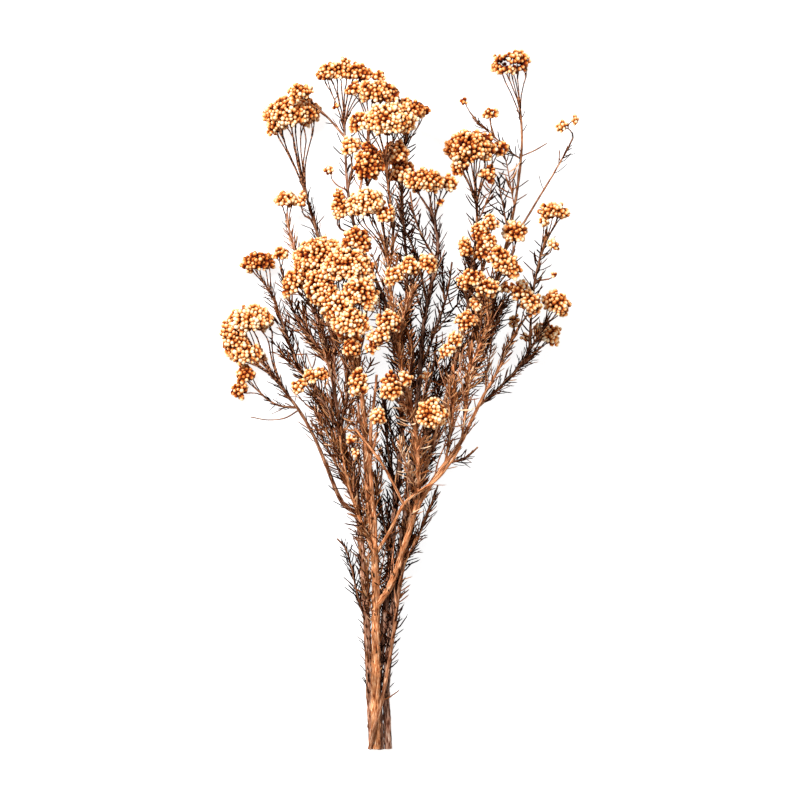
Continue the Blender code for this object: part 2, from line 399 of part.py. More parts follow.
def grown():
    """Every twig as points every STEP mm, and every head's lobes, knot and stalks, with room between stems."""
    lift = settled_heads()
    head_of = {twig: i for i, (_, twig, _) in enumerate(HEADS)}
    twigs = {}
    for name, node, parent, leafy, route in TWIGS:
        if parent:
            held = twigs[parent]["line"]
            x, y, radius = route[0]
            start = on_sheet(x, y, 0)[:2]
            at = int(np.argmin(np.linalg.norm(held[:, :2] - start, axis=1)))
            points = [np.append(held[at, :3], radius)]
        else:
            at, points = 0, [np.append(on_sheet(*route[0][:3]), route[0][3])]
        points += [np.append(on_sheet(x, y, z), radius) for x, y, z, radius in route[1:]]
        line = smooth_line(points)
        if name in head_of:
            share = np.clip(np.linspace(-1, 1, len(line)), 0, 1)
            line[:, 2] += lift[head_of[name]] * share * share * (3 - 2 * share)
        twigs[name] = {"node": node, "parent": parent, "at": at, "leafy": leafy, "line": line}
    heads = {}
    for i, (name, twig, rows) in enumerate(HEADS):
        line = twigs[twig]["line"]
        way = line[-1, :3] - line[-4, :3]
        way /= np.linalg.norm(way)
        foot = line[-1, :3] + way * (JOINT_GAP + FOOT)
        lobes = lobes_of(rows, lift[i])
        stalks = stalks_of(foot, way, lobes, random.Random(name))
        heads[name] = {"twig": twig, "foot": foot, "lobes": lobes, "stalks": stalks}
    spread_twigs(twigs, heads)
    return twigs, heads


def along_stalks(head):
    """Points close together on a head's knot and stalks."""
    found = [head["foot"][None]]
    for a, b, c in head["stalks"]:
        t = np.linspace(0, 1, 12)[:, None]
        found += [a + (b - a) * t, b + (c - b) * t]
    return np.concatenate(found)


def crowding(line, name, twigs, tree, places):
    """How far up or down each point of a twig has to go to be clear of other stems and of other heads' stalks."""
    push = np.zeros(len(line))
    bundle = on_sheet(0, BUNDLE_Y, 0)[1]
    for i, point in enumerate(line):
        for _, index, far in tree.find_range(point[:3], NEAR):
            place, radius, owner, fixed = places[index]
            if owner == name or (not fixed and twigs[owner]["node"] == twigs[name]["node"]):
                continue
            gap = STALK_GAP if fixed else BUNDLE_GAP if point[1] < bundle else OPEN_GAP
            short = math.sqrt((point[3] + radius + gap) ** 2 + 1) - far
            if short > abs(push[i]):
                push[i] = short if point[2] >= place[2] else -short
    return push


def spread_twigs(twigs, heads):
    """Bends each twig up or down until it is clear of the other stems and of the heads it doesn't carry."""
    stalks = [(p, STALK, head["twig"], True) for head in heads.values() for p in along_stalks(head)]
    lobes = [(lobe, head["twig"]) for head in heads.values() for lobe in head["lobes"]]
    kernel = np.array(SPREAD) / sum(SPREAD)
    for _ in range(ROUNDS):
        places = stalks + [(p[:3].copy(), p[3], name, False) for name, t in twigs.items() for p in t["line"]]
        tree = kdtree.KDTree(len(places))
        for index, place in enumerate(places):
            tree.insert(place[0], index)
        tree.balance()
        for name, twig in twigs.items():
            line = twig["line"]
            push = crowding(line, name, twigs, tree, places)
            for lobe, carrier in lobes:
                if carrier != name:
                    push += 2 * pushed_off(line[:, :3], line[:, 3], lobe, LOBE_GAP)
            spread = np.convolve(np.pad(push, 3, mode="edge"), kernel, mode="valid")
            push = np.where(np.abs(spread) > np.abs(push) * SHARP, spread, push * SHARP)
            push *= np.clip((len(line) - 1 - np.arange(len(line))) / HELD_END, 0, 1)
            if not twig["parent"]:
                push *= np.clip(np.arange(len(line)) / HELD_START, 0, 1)
            line[:, 2] = np.maximum(line[:, 2] + MOVE * push, np.minimum(line[:, 3], line[:, 2]))
        for twig in twigs.values():
            if twig["parent"]:
                line = twig["line"]
                change = twigs[twig["parent"]]["line"][twig["at"], 2] - line[0, 2]
                line[:, 2] += change * np.clip(1 - np.arange(len(line)) / FOLLOW, 0, 1)


def frame_of(way):
    """Two directions across the given one."""
    side = np.cross(way, (0, 0, 1) if abs(way[2]) < 0.9 else (1, 0, 0))
    side /= np.linalg.norm(side)
    return side, np.cross(way, side)


def tube(line, sides):
    """A closed tube through points with radii, which doesn't twist on its way."""
    ways = np.gradient(line[:, :3], axis=0)
    ways /= np.linalg.norm(ways, axis=1)[:, None]
    points, faces = [], []
    side, _ = frame_of(ways[0])
    for place, way in zip(line, ways):
        side = side - way * side.dot(way)
        side /= np.linalg.norm(side)
        up = np.cross(way, side)
        for k in range(sides):
            angle = 2 * math.pi * k / sides
            points.append(place[:3] + place[3] * (math.cos(angle) * side + math.sin(angle) * up))
    for ring in range(len(line) - 1):
        for k in range(sides):
            low, high = ring * sides + k, ring * sides + (k + 1) % sides
            faces.append((low, high, high + sides, low + sides))
    faces.append(tuple(range(sides))[::-1])
    faces.append(tuple(range((len(line) - 1) * sides, len(line) * sides)))
    return points, faces


def knot(middle, rng):
    """The small knot that a head's stalks grow from."""
    way = np.array([rng.gauss(0, 1) for _ in range(3)])
    way /= np.linalg.norm(way)
    side, up = frame_of(way)
    faces = [(k, (k + 1) % 4, 4) for k in range(4)] + [((k + 1) % 4, k, 5) for k in range(4)]
    return [middle + FOOT * corner for corner in (side, up, -side, -up, way, -way)], faces


def on_lobe(lobe, direction, inset):
    """The point of a lobe in this direction, below its face by the inset. Its underside is flatter."""
    middle, axes, half = lobe
    half = np.maximum(half - inset, THINNEST * half)
    rise = CROWN if direction[1] > 0 else BELLY
    local = np.array(direction) * half * (1, rise, 1) - (0, (CROWN - 1) * half[1], 0)
    return middle + local @ axes


def studded(lobe, rng):
    """A lobe's core with clusters of florets that stand out of it side by side, one point to a cluster."""
    half = lobe[2]
    a, b, c = half ** FACE_POWER
    face = 4 * math.pi * ((a * b + a * c + b * c) / 3) ** (1 / FACE_POWER)
    count = max(FEWEST_BUDS, int(round(face / BUD_AREA)))
    shape = bmesh.new()
    for k in range(count):
        height = 1 - 2 * (k + 0.5) / count
        out = math.sqrt(1 - height * height)
        angle = k * math.pi * (3 - math.sqrt(5)) + rng.uniform(-0.1, 0.1)
        way = Vector((out * math.cos(angle), height + rng.uniform(-0.3, 0.3) / count, out * math.sin(angle)))
        shape.verts.new(way.normalized())
    bmesh.ops.convex_hull(shape, input=list(shape.verts))
    shape.verts.index_update()
    shape.faces.index_update()
    points = []
    for vert in shape.verts:
        inset = VALLEY if vert.co.y < UNDERSIDE else rng.uniform(0, BUD_UNEVEN)
        points.append(on_lobe(lobe, tuple(vert.co), inset))
    for face in shape.faces:
        points.append(on_lobe(lobe, tuple(sum((v.co for v in face.verts), Vector()).normalized()), VALLEY))
    faces = []
    for face in shape.faces:
        for loop in face.loops:
            other = loop.link_loop_radial_next.face
            faces.append((loop.vert.index, len(shape.verts) + other.index, len(shape.verts) + face.index))
    shape.free()
    return points, faces


def needles_on(twig, line, clear, rng):
    """Needles all round a leafy twig, as lines of two points, where there is room for them."""
    found = []
    if not twig["leafy"]:
        return found
    length = STEP * (len(line) - 1)
    place, turn = FIRST_NEEDLE, rng.uniform(0, 6)
    while place < length - BARE_END:
        at = line[int(place / STEP)]
        way = line[min(int(place / STEP) + 1, len(line) - 1), :3] - at[:3]
        way /= np.linalg.norm(way)
        height = ORIGIN[1] - at[1] / SQUARE
        share = min(1.0, SPARSE + (1 - SPARSE) * (LEAF_START - height) / (LEAF_START - LEAF_FULL))
        place += NEEDLE_EVERY / twig["leafy"] / max(share, SPARSE) * rng.uniform(0.8, 1.2)
        turn += NEEDLE_TURN + rng.uniform(-0.3, 0.3)
        if height > LEAF_START:
            continue
        a, b = frame_of(way)
        lean = math.radians(rng.uniform(*NEEDLE_LEAN))
        out = math.cos(turn) * a + math.sin(turn) * b
        long = rng.uniform(*NEEDLE_LONG) + at[3]
        end = at[:3] + long * (math.cos(lean) * way + math.sin(lean) * out)
        if end[2] > NEEDLE + 0.1 and clear(at[:3], end, at[3]):
            found.append(np.array([[*at[:3], NEEDLE], [*end, NEEDLE * 0.9]]))
    return found


def clearance(node, twigs, heads, needles):
    """A test of whether a needle of this node is clear of all the other nodes."""
    others = [(t["line"][:, :3], t["line"][:, 3]) for t in twigs.values() if t["node"] != node]
    others += [(along_stalks(h), np.full(len(along_stalks(h)), STALK)) for h in heads.values()]
    for other, lines in needles.items():
        if other != node:
            for line in lines:
                t = np.linspace(0, 1, 6)[:, None]
                others.append((line[0, :3] * (1 - t) + line[1, :3] * t, np.full(6, NEEDLE)))
    places = np.concatenate([p for p, _ in others])
    radii = np.concatenate([r for _, r in others])
    lobes = [lobe for head in heads.values() for lobe in head["lobes"]]

    def clear(start, end, thick):
        t = np.linspace(0.1, 1, 8)[:, None]
        line = start * (1 - t) + end * t
        far = np.linalg.norm(line[:, None] - places[None], axis=2)
        if (far < radii[None] + NEEDLE + NEEDLE_ROOM).any():
            return False
        return not any(pushed_off(line, np.full(len(line), NEEDLE), lobe, NEEDLE_OFF).any() for lobe in lobes)

    return clear


def material(name, colour, roughness):
    made = bpy.data.materials.new(name)
    made.use_nodes = True
    shader = made.node_tree.nodes["Principled BSDF"]
    shader.inputs["Base Color"].default_value = colour
    shader.inputs["Roughness"].default_value = roughness
    return made


def add_object(name, points, faces, collection):
    mesh = bpy.data.meshes.new(name)
    mesh.from_pydata([tuple(float(v) / 1000 for v in p) for p in points], [], faces)
    mesh.update()
    made = bpy.data.objects.new(name, mesh)
    collection.objects.link(made)
    return made


def apply_modifiers(made):
    graph = bpy.context.evaluated_depsgraph_get()
    mesh = bpy.data.meshes.new_from_object(made.evaluated_get(graph))
    made.modifiers.clear()
    made.data = mesh


def keep_largest(shape):
    """Drops what isn't joined to the largest piece."""
    left, groups = set(shape.verts), []
    while left:
        edge = [left.pop()]
        group = set(edge)
        while edge:
            vert = edge.pop()
            for link in vert.link_edges:
                other = link.other_vert(vert)
                if other in left:
                    left.discard(other)
                    group.add(other)
                    edge.append(other)
        groups.append(group)
    groups.sort(key=len)
    for group in groups[:-1]:
        bmesh.ops.delete(shape, geom=list(group), context="VERTS")


def tidied(made):
    """Welds what lies closer than a solid can hold, and returns the height in mm of the thinnest triangle.

    It is -1 where the solid is pinched to a line or a point.
    """
    best, thickest = None, -2.0
    for weld in WELDS:
        shape = bmesh.new()
        shape.from_mesh(made.data)
        bmesh.ops.remove_doubles(shape, verts=list(shape.verts), dist=weld)
        bmesh.ops.dissolve_degenerate(shape, edges=list(shape.edges), dist=weld / 4)
        bmesh.ops.triangulate(shape, faces=list(shape.faces))
        keep_largest(shape)
        good = all(edge.is_manifold for edge in shape.edges) and all(vert.is_manifold for vert in shape.verts)
        thin = min(2 * f.calc_area() / max(e.calc_length() for e in f.edges) for f in shape.faces)
        thin = 1000 * thin if good else -1.0
        if thin > thickest:
            best, thickest = bpy.data.meshes.new(made.name), thin
            shape.to_mesh(best)
        shape.free()
    made.data = best
    return thickest


def fused(name, pieces, look):
    """One solid made of all the pieces, cut flat where it lies on the surface."""
    scene = bpy.context.scene.collection
    if name in bpy.data.objects:
        bpy.data.objects.remove(bpy.data.objects[name])
    made = add_object(name, *pieces[0], scene)
    parts = bpy.data.collections.new(name + "_pieces")
    scene.children.link(parts)
    for points, faces in pieces[1:]:
        add_object("piece", points, faces, parts)
    union = made.modifiers.new("join", "BOOLEAN")
    union.operation = "UNION"
    union.operand_type = "COLLECTION"
    union.collection = parts
    union.solver = "MANIFOLD"
    apply_modifiers(made)
    for piece in list(parts.objects):
        bpy.data.objects.remove(piece)
    bpy.data.collections.remove(parts)
    if min(v.co.z for v in made.data.vertices) < 0:
        size = 400
        corners = [(x, y, z) for z in (-size, 0) for x, y in
                   ((-size, -size), (size, -size), (size, size), (-size, size))]
        sides = [(3, 2, 1, 0), (4, 5, 6, 7), (0, 1, 5, 4), (1, 2, 6, 5), (2, 3, 7, 6), (3, 0, 4, 7)]
        below = add_object("below", corners, sides, scene)
        cut = made.modifiers.new("lie_flat", "BOOLEAN")
        cut.operation = "DIFFERENCE"
        cut.object = below
        cut.solver = "MANIFOLD"
        apply_modifiers(made)
        bpy.data.objects.remove(below)
    thin = tidied(made)
    made.data.materials.clear()
    made.data.materials.append(look)
    return thin


def best_of(name, draw, look):
    """Fuses one draw of a node's pieces after another until none of its triangles is too thin."""
    thinnest = []
    for attempt in range(ATTEMPTS):
        thinnest.append(fused(name, draw(random.Random(f"{name} {attempt}")), look))
        if thinnest[-1] > THIN:
            return
    fused(name, draw(random.Random(f"{name} {thinnest.index(max(thinnest))}")), look)


def build():
    for old in list(bpy.data.objects):
        bpy.data.objects.remove(old)
    twigs, heads = grown()
    bark = material("dried_bark", BARK, 0.8)
    floret = material("dyed_floret", FLORET, 0.75)
    needles = {}
    for node in sorted({twig["node"] for twig in twigs.values()}):
        clear = clearance(node, twigs, heads, needles)

        def leafy_stem(rng, node=node, clear=clear):
            needles[node] = []
            pieces = []
            for twig in twigs.values():
                if twig["node"] == node:
                    pieces.append(tube(resampled(twig["line"], SECTION), 6 if twig["line"][0, 3] > 2 else 4))
                    needles[node] += needles_on(twig, twig["line"], clear, rng)
            return pieces + [tube(line, 3) for line in needles[node]]

        best_of(node, leafy_stem, bark)
    for name, head in heads.items():

        def flower_head(rng, head=head):
            pieces = [studded(lobe, rng) for lobe in head["lobes"]] + [knot(head["foot"], rng)]
            for line in head["stalks"]:
                stray = [[rng.uniform(-WANDER, WANDER) for _ in range(3)] for _ in line]
                pieces.append(tube(np.column_stack([line + stray, np.full(len(line), STALK)]), 3))
            return pieces

        best_of(name, flower_head, floret)


build()
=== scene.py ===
import json
import math
import random

import bmesh
import bpy
import numpy as np
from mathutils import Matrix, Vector, kdtree

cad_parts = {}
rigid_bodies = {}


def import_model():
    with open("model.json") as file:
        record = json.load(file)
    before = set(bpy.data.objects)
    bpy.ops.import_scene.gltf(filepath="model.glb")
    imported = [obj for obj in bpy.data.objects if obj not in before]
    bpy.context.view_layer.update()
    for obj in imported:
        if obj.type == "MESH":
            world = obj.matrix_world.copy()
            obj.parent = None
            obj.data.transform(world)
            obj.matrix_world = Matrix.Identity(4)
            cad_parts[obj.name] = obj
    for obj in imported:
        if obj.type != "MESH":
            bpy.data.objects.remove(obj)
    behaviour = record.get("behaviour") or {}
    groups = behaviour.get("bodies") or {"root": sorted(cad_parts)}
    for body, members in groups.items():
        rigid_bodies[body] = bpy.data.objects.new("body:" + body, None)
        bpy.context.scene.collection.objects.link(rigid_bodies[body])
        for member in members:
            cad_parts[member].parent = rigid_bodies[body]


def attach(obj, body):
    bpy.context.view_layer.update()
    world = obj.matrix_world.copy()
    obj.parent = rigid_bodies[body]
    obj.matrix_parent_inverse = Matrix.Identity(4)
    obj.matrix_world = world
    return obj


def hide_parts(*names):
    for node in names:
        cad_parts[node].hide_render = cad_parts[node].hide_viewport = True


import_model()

bpy.context.scene.view_settings.view_transform = "Standard"
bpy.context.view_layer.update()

# The lie of the bunch. Five cut stems lie side by side at their ends and fan out towards the tips, as they
# settle when the bunch is laid down. Each route and head is written on a sheet of 0.7 mm squares, x to the
# right and y downwards, with its height above the surface, and twigs are then bent clear of each other.
SQUARE = 0.7  # mm in a square of the sheet
ORIGIN = (400.5, 399.0)  # the sheet's point above the part's origin
STEP = 2.0  # mm between the places where a twig is tested against the rest
BETWEEN = 12  # places between two given points of a route, before they are spaced evenly
BUNDLE_Y = 560.0  # below this line of the sheet the stems lie side by side
BUNDLE_GAP = 0.3  # mm between stems in the bundle
OPEN_GAP = 1.4  # mm kept between twigs of two stems above it
STALK_GAP = 0.6  # mm kept between a twig and the stalks of a head that it doesn't carry
LOBE_GAP = 1.5  # mm kept between a twig and such a head
LOBE_PUSH = 2  # how much more strongly such a head bends the twig
NEAR = 8.0  # mm within which twigs are tested against each other
ROUNDS = 60  # times that the twigs are bent clear
MOVE = 0.45  # share of the missing room by which a twig is bent at once
SPREAD = (1, 2, 3, 4, 3, 2, 1)  # weights with which a bend is spread along a twig
SHARP = 0.7  # share of a bend that stays where it is needed, if spreading would take more
HELD_START = 12  # steps over which a stem's cut end keeps its place
HELD_END = 4  # steps over which a twig's tip keeps its place
FOLLOW = 8  # steps over which a side twig follows the twig that carries it
HEAD_ROUNDS = 120  # times that the heads are moved apart
HEAD_GAP = 1.0  # mm between two heads
HEAD_MOVE = 3  # part of the missing room by which a head moves at once: one third
HEAD_STEP = 1.5  # mm, the most that a head moves at once
TIE = 1e-6  # mm, which settles the order of two lobes at one height
LOWEST = 0.86  # share of a lobe's half height that stays above the surface
FOOT = 1.0  # mm, radius of the knot that a head's stalks grow from
JOINT_GAP = 0.3  # mm from a twig's end to that knot
STALK = 0.55  # mm, radius of a head's stalks
TWO_STALKS = 9.0  # mm, half the width from which a lobe has two stalks
STALK_APART = 0.5  # share of a lobe's half size at which two stalks end
STALK_REACH = -0.25  # share of its half height, from its middle, at which they end
STALK_TURN = 0.3  # radians by which a stalk is turned out of its place at most
STALK_BEND = (0.25, 0.3)  # where a stalk bends: this far along the twig's way, and towards the stalk's end
DEPTH = 0.78  # a head's depth over its width
LONG_DEPTH = 0.8  # share of a lobe's length that counts as its width there, if it is more

# For each stem its twigs: name, twig it grows from, how leafy, route. A point of the route is its place on
# the sheet, its height and the twig's radius in mm. The first point of a side twig has no height: it lies on
# the twig that carries it.
TWIGS = {"stem_front": [
    ("front", "", 0.5, [(375.5, 750, 8.9, 3.3), (375.5, 720, 9.0, 3.3), (375.5, 690, 9.3, 3.2),
        (376, 650, 10, 3.1), (376, 610, 11.5, 3.0), (375, 560, 15, 2.7), (371, 525, 20, 2.4),
        (368, 490, 27, 2.2), (366, 450, 36, 2.0), (363, 405, 48, 1.8), (359, 368, 61, 1.5),
        (356, 342, 72, 1.2)]),
    ("front_b", "front", 0.5, [(376, 552, 1.9), (374.5, 524, 22, 1.8), (372, 492, 30, 1.6),
        (370, 462, 40, 1.4), (371, 430, 52, 1.2), (374, 402, 62, 1.0), (377, 375, 70, 0.8)]),
    ("front_c", "front", 0.6, [(375, 556, 1.3), (366, 534, 21, 1.25), (358, 514, 25, 1.2),
        (350, 488, 29, 1.1), (343, 460, 34, 0.9), (340, 436, 38, 0.7)]),
    ("cross", "front", 0.3, [(377, 556, 1.2), (391, 529, 27, 1.15), (404, 504, 36, 1.1),
        (420, 491, 42, 1.05), (437, 479, 46, 1.0), (451, 462, 49, 0.9), (461, 446, 51, 0.7)]),
    ("cross_b", "cross", 0.3, [(404, 504, 1.0), (393, 483, 44, 0.95), (381, 462, 52, 0.9),
        (368, 445, 57, 0.8), (355, 428, 60, 0.6)]),
    ("aq", "front", 0.0, [(360, 375, 1.0), (354, 366, 74, 0.8), (353, 360, 82, 0.7)]),
    ("ar", "front", 0.3, [(365, 440, 1.0), (360, 420, 56, 0.9), (358, 402, 66, 0.7)]),
    ("ak", "front", 0.6, [(362, 398, 1.2), (352, 355, 62, 1.1), (343, 320, 68, 1.0), (340, 300, 74, 0.8)]),
    ("aw", "front", 0.3, [(367, 468, 1.0), (373, 450, 46, 0.9), (377, 432, 60, 0.7)]),
    ("bit_b", "front", 0.0, [(366, 462, 0.7), (361, 460, 41, 0.6)]),
    ("fork", "front", 0.5, [(377, 606, 2.4), (388, 590, 15, 2.3), (396, 572, 18, 2.2), (403, 550, 22, 2.1),
        (409, 532, 26, 2.0), (415, 512, 30, 1.9), (424, 495, 34, 1.8), (437, 475, 38, 1.7),
        (448, 460, 41, 1.6), (462, 440, 43, 1.4), (474, 415, 45, 1.2), (484, 395, 46, 1.1),
        (497, 372, 46, 1.0), (508, 348, 46, 0.9), (518, 328, 45, 0.8)]),
    ("ad", "fork", 1.0, [(478, 406, 1.0), (500, 387, 36, 0.95), (516, 371, 28, 0.9), (530, 358, 17, 0.85),
        (541, 347, 9, 0.8)]),
    ("ac", "ad", 0.8, [(516, 371, 0.8), (530, 350, 25, 0.8), (543, 328, 24, 0.75), (550, 316, 24, 0.7)]),
    ("ae", "fork", 0.5, [(506, 353, 0.8), (511, 342, 36, 0.7), (514, 334, 30, 0.65)]),
    ("af", "ad", 0.3, [(530, 358, 0.8), (527, 347, 19, 0.7)]),
    ("s", "ac", 1.0, [(530, 350, 0.9), (531, 320, 29, 0.9), (534, 287, 28, 0.85), (541, 255, 27, 0.8),
        (549, 232, 26, 0.7)]),
    ("t", "s", 0.0, [(541, 257, 0.7), (548, 254, 30, 0.65)]),
    ("bit_e", "s", 0.0, [(536, 280, 0.6), (549, 279, 31, 0.55)]),
    ("rise", "fork", 0.9, [(414, 514, 1.7), (418, 490, 38, 1.6), (417, 445, 52, 1.5), (412, 410, 64, 1.4),
        (405, 380, 72, 1.3), (398, 340, 79, 1.2), (393, 310, 83, 1.1), (389, 280, 85, 1.05),
        (386, 250, 87, 0.95), (380, 236, 89, 0.8)]),
    ("e", "rise", 0.6, [(389, 275, 1.0), (393, 245, 80, 0.95), (392, 215, 77, 0.9), (388, 185, 80, 0.85),
        (386, 160, 86, 0.8), (387, 148, 88, 0.75)]),
    ("ap", "rise", 0.3, [(399, 345, 0.9), (394, 341, 88, 0.8)]),
    ("as", "rise", 0.3, [(412, 411, 0.9), (404, 405, 73, 0.8), (398, 403, 79, 0.7)]),
    ("at", "rise", 0.3, [(417, 450, 0.9), (422, 441, 62, 0.8), (426, 435, 69, 0.7)]),
    ("au", "rise", 0.6, [(399, 345, 1.0), (404, 315, 86, 0.9), (409, 297, 91, 0.8), (411, 286, 94, 0.7)]),
    ("av", "fork", 0.9, [(446, 463, 1.0), (452, 420, 48, 0.95), (454, 385, 55, 0.85), (453, 364, 60, 0.7)]),
    ("z", "fork", 0.9, [(462, 440, 1.0), (467, 400, 50, 0.95), (470, 360, 58, 0.9), (472, 340, 64, 0.7)]),
    ("y", "z", 0.8, [(469, 370, 0.9), (480, 345, 64, 0.9), (488, 322, 72, 0.8), (486, 309, 78, 0.7)]),
    ("shoot_low", "fork", 1.0, [(398, 568, 0.9), (411, 551, 20, 0.9), (422, 528, 24, 0.8),
        (433, 500, 28, 0.7), (438, 485, 30, 0.6)]),
    ("shoot_side", "fork", 1.0, [(446, 463, 0.9), (465, 458, 38, 0.8), (478, 447, 36, 0.6)]),
], "stem_left": [
    ("left", "", 0.9, [(372.5, 750, 2.3, 2.7), (371, 720, 2.3, 2.7), (369.5, 690, 2.5, 2.6),
        (367, 630, 5, 2.5), (363, 570, 9, 2.4), (360, 530, 13, 2.2), (356, 490, 19, 2.0),
        (349, 465, 24, 1.8), (343, 440, 29, 1.6), (337, 410, 34, 1.5), (333, 380, 38, 1.4),
        (328, 350, 41, 1.3), (320, 325, 43, 1.2), (308, 298, 43, 1.1), (300, 270, 41, 1.0),
        (293, 243, 37, 0.9), (288, 225, 33, 0.8), (287, 213, 30, 0.7)]),
    ("left_outer", "left", 0.8, [(358, 515, 1.7), (345, 506, 16, 1.6), (337, 493, 17, 1.5),
        (331, 478, 18, 1.4), (322, 455, 19, 1.3), (313, 435, 20, 1.2), (300, 412, 21, 1.1),
        (285, 392, 19, 1.0), (274, 377, 16, 0.9), (267, 367, 14, 0.8)]),
    ("an", "left_outer", 0.3, [(297, 408, 0.9), (280, 406, 14, 0.8), (268, 400, 9, 0.75),
        (260, 393, 7, 0.7)]),
    ("ag", "left", 0.8, [(337, 408, 1.1), (320, 392, 31, 1.05), (304, 375, 29, 1.0), (292, 352, 28, 0.95),
        (283, 325, 27, 0.9), (273, 298, 19, 0.85), (263, 281, 12, 0.7)]),
    ("ah", "left", 0.8, [(331, 366, 1.0), (316, 350, 37, 0.95), (303, 330, 36, 0.9), (294, 312, 35, 0.85),
        (286, 290, 34, 0.8), (282, 272, 34, 0.7)]),
    ("a", "left", 0.8, [(322, 330, 1.1), (326, 300, 45, 1.05), (325, 270, 42, 1.0), (319, 240, 38, 0.95),
        (312, 215, 35, 0.9), (306, 195, 32, 0.85), (301, 178, 29, 0.8)]),
    ("l", "a", 0.0, [(313, 220, 0.7), (305, 216, 42, 0.65)]),
    ("ao", "left", 0.5, [(343, 442, 1.0), (334, 422, 40, 0.9), (325, 404, 50, 0.8), (318, 397, 54, 0.7)]),
    ("ai", "left", 0.8, [(333, 382, 1.1), (334, 350, 46, 1.0), (329, 320, 51, 0.9), (323, 300, 55, 0.8),
        (321, 291, 57, 0.7)]),
    ("aj", "ai", 0.5, [(334, 350, 0.9), (346, 320, 54, 0.9), (353, 290, 60, 0.8), (356, 264, 68, 0.7)]),
    ("shoot_a", "left", 1.0, [(357, 500, 1.0), (345, 482, 24, 0.9), (331, 455, 27, 0.8), (318, 432, 29, 0.7),
        (310, 420, 30, 0.6)]),
    ("shoot_b", "left", 1.0, [(366, 622, 0.9), (358, 598, 9, 0.8), (353, 575, 11, 0.7), (346, 550, 12, 0.65),
        (337, 539, 13, 0.6)]),
    ("shoot_g", "left", 1.0, [(352, 478, 1.0), (341, 450, 30, 0.95), (329, 425, 33, 0.9),
        (317, 402, 35, 0.8), (305, 384, 36, 0.6)]),
    ("shoot_h", "left", 1.0, [(340, 428, 1.0), (346, 400, 40, 0.9), (347, 370, 46, 0.8),
        (343, 345, 52, 0.6)]),
    ("shoot_i", "left", 1.0, [(330, 362, 0.9), (314, 342, 44, 0.8), (305, 320, 46, 0.7),
        (302, 300, 48, 0.6)]),
    ("stray", "left_outer", 0.0, [(299, 411, 0.6), (285, 418, 17, 0.5), (268, 420, 14, 0.45),
        (250, 417, 11, 0.4)]),
], "stem_back": [
    ("back", "", 0.8, [(380.4, 750, 2.3, 2.7), (379, 720, 2.3, 2.7), (378, 690, 2.5, 2.6),
        (381, 650, 3.6, 2.6), (385, 615, 5, 2.5), (389, 575, 8, 2.4), (393, 530, 12, 2.2),
        (398, 480, 18, 2.0), (401, 440, 25, 1.8), (402, 400, 33, 1.6), (400, 360, 41, 1.5),
        (392, 320, 47, 1.4), (380, 290, 51, 1.3), (368, 262, 53, 1.2), (358, 235, 54, 1.15),
        (351, 212, 54, 1.1), (347, 180, 52, 1.0), (345, 140, 47, 0.9), (344, 115, 43, 0.85),
        (344, 104, 41, 0.8)]),
    ("c", "back", 0.7, [(353, 218, 0.95), (361, 185, 57, 0.9), (366, 150, 60, 0.85), (370, 125, 61, 0.8),
        (372, 112, 61, 0.7)]),
    ("j", "back", 0.0, [(357, 232, 0.8), (347, 232, 58, 0.75), (340, 229, 64, 0.7)]),
    ("f", "back", 0.3, [(348, 190, 0.7), (352, 172, 66, 0.7), (352, 164, 72, 0.65)]),
    ("g", "c", 0.0, [(360, 190, 0.8), (365, 190, 68, 0.75), (367, 188, 74, 0.7)]),
    ("d", "back", 0.8, [(401, 368, 1.1), (405, 320, 41, 1.0), (407, 270, 41, 1.0), (404, 230, 43, 0.95),
        (402, 190, 46, 0.9), (404, 155, 48, 0.85), (408, 130, 50, 0.7)]),
    ("h", "d", 0.4, [(403, 222, 0.85), (401, 205, 54, 0.8), (402, 192, 60, 0.7)]),
    ("a2", "back", 0.3, [(345, 138, 0.8), (331, 121, 42, 0.75), (320, 110, 37, 0.7), (314, 104, 34, 0.65)]),
    ("shoot_k", "back", 1.0, [(396, 500, 1.0), (391, 470, 17, 0.95), (387, 440, 22, 0.9),
        (386, 410, 27, 0.8), (383, 380, 32, 0.6)]),
    ("shoot_l", "back", 1.0, [(401, 430, 1.0), (410, 400, 28, 0.9), (413, 370, 32, 0.8), (412, 340, 36, 0.7),
        (410, 315, 39, 0.6)]),
    ("shoot_m", "back", 1.0, [(390, 566, 0.9), (387, 540, 12, 0.85), (382, 515, 15, 0.8),
        (378, 492, 18, 0.7), (375, 470, 20, 0.6)]),
    ("bit_d", "back", 0.0, [(347, 192, 0.6), (338, 186, 51, 0.55), (333, 181, 50, 0.55)]),
], "stem_right": [
    ("right", "", 0.8, [(388.3, 750, 2.3, 2.7), (387, 720, 2.3, 2.7), (386, 690, 2.5, 2.6),
        (389, 650, 4, 2.6), (393, 610, 6, 2.5), (398, 565, 10, 2.3), (405, 520, 15, 2.1),
        (411, 470, 22, 2.0), (416, 420, 32, 1.8), (420, 370, 42, 1.7), (423, 330, 50, 1.5),
        (428, 300, 55, 1.4), (434, 272, 60, 1.3), (438, 250, 65, 1.2), (435, 225, 71, 1.1),
        (431, 208, 76, 0.9)]),
    ("bit_a", "right", 0.0, [(419, 388, 0.7), (423, 383, 47, 0.6)]),
    ("shoot_c", "right", 1.0, [(427, 303, 1.0), (420, 270, 52, 0.9), (412, 245, 54, 0.8),
        (404, 228, 55, 0.7), (396, 200, 56, 0.6)]),
    ("shoot_d", "right", 1.0, [(436, 262, 0.8), (424, 240, 62, 0.75), (414, 215, 64, 0.7),
        (410, 192, 65, 0.6)]),
    ("shoot_e", "right", 1.0, [(420, 372, 1.0), (430, 345, 43, 0.9), (440, 318, 45, 0.8),
        (448, 290, 46, 0.7), (452, 262, 46, 0.6)]),
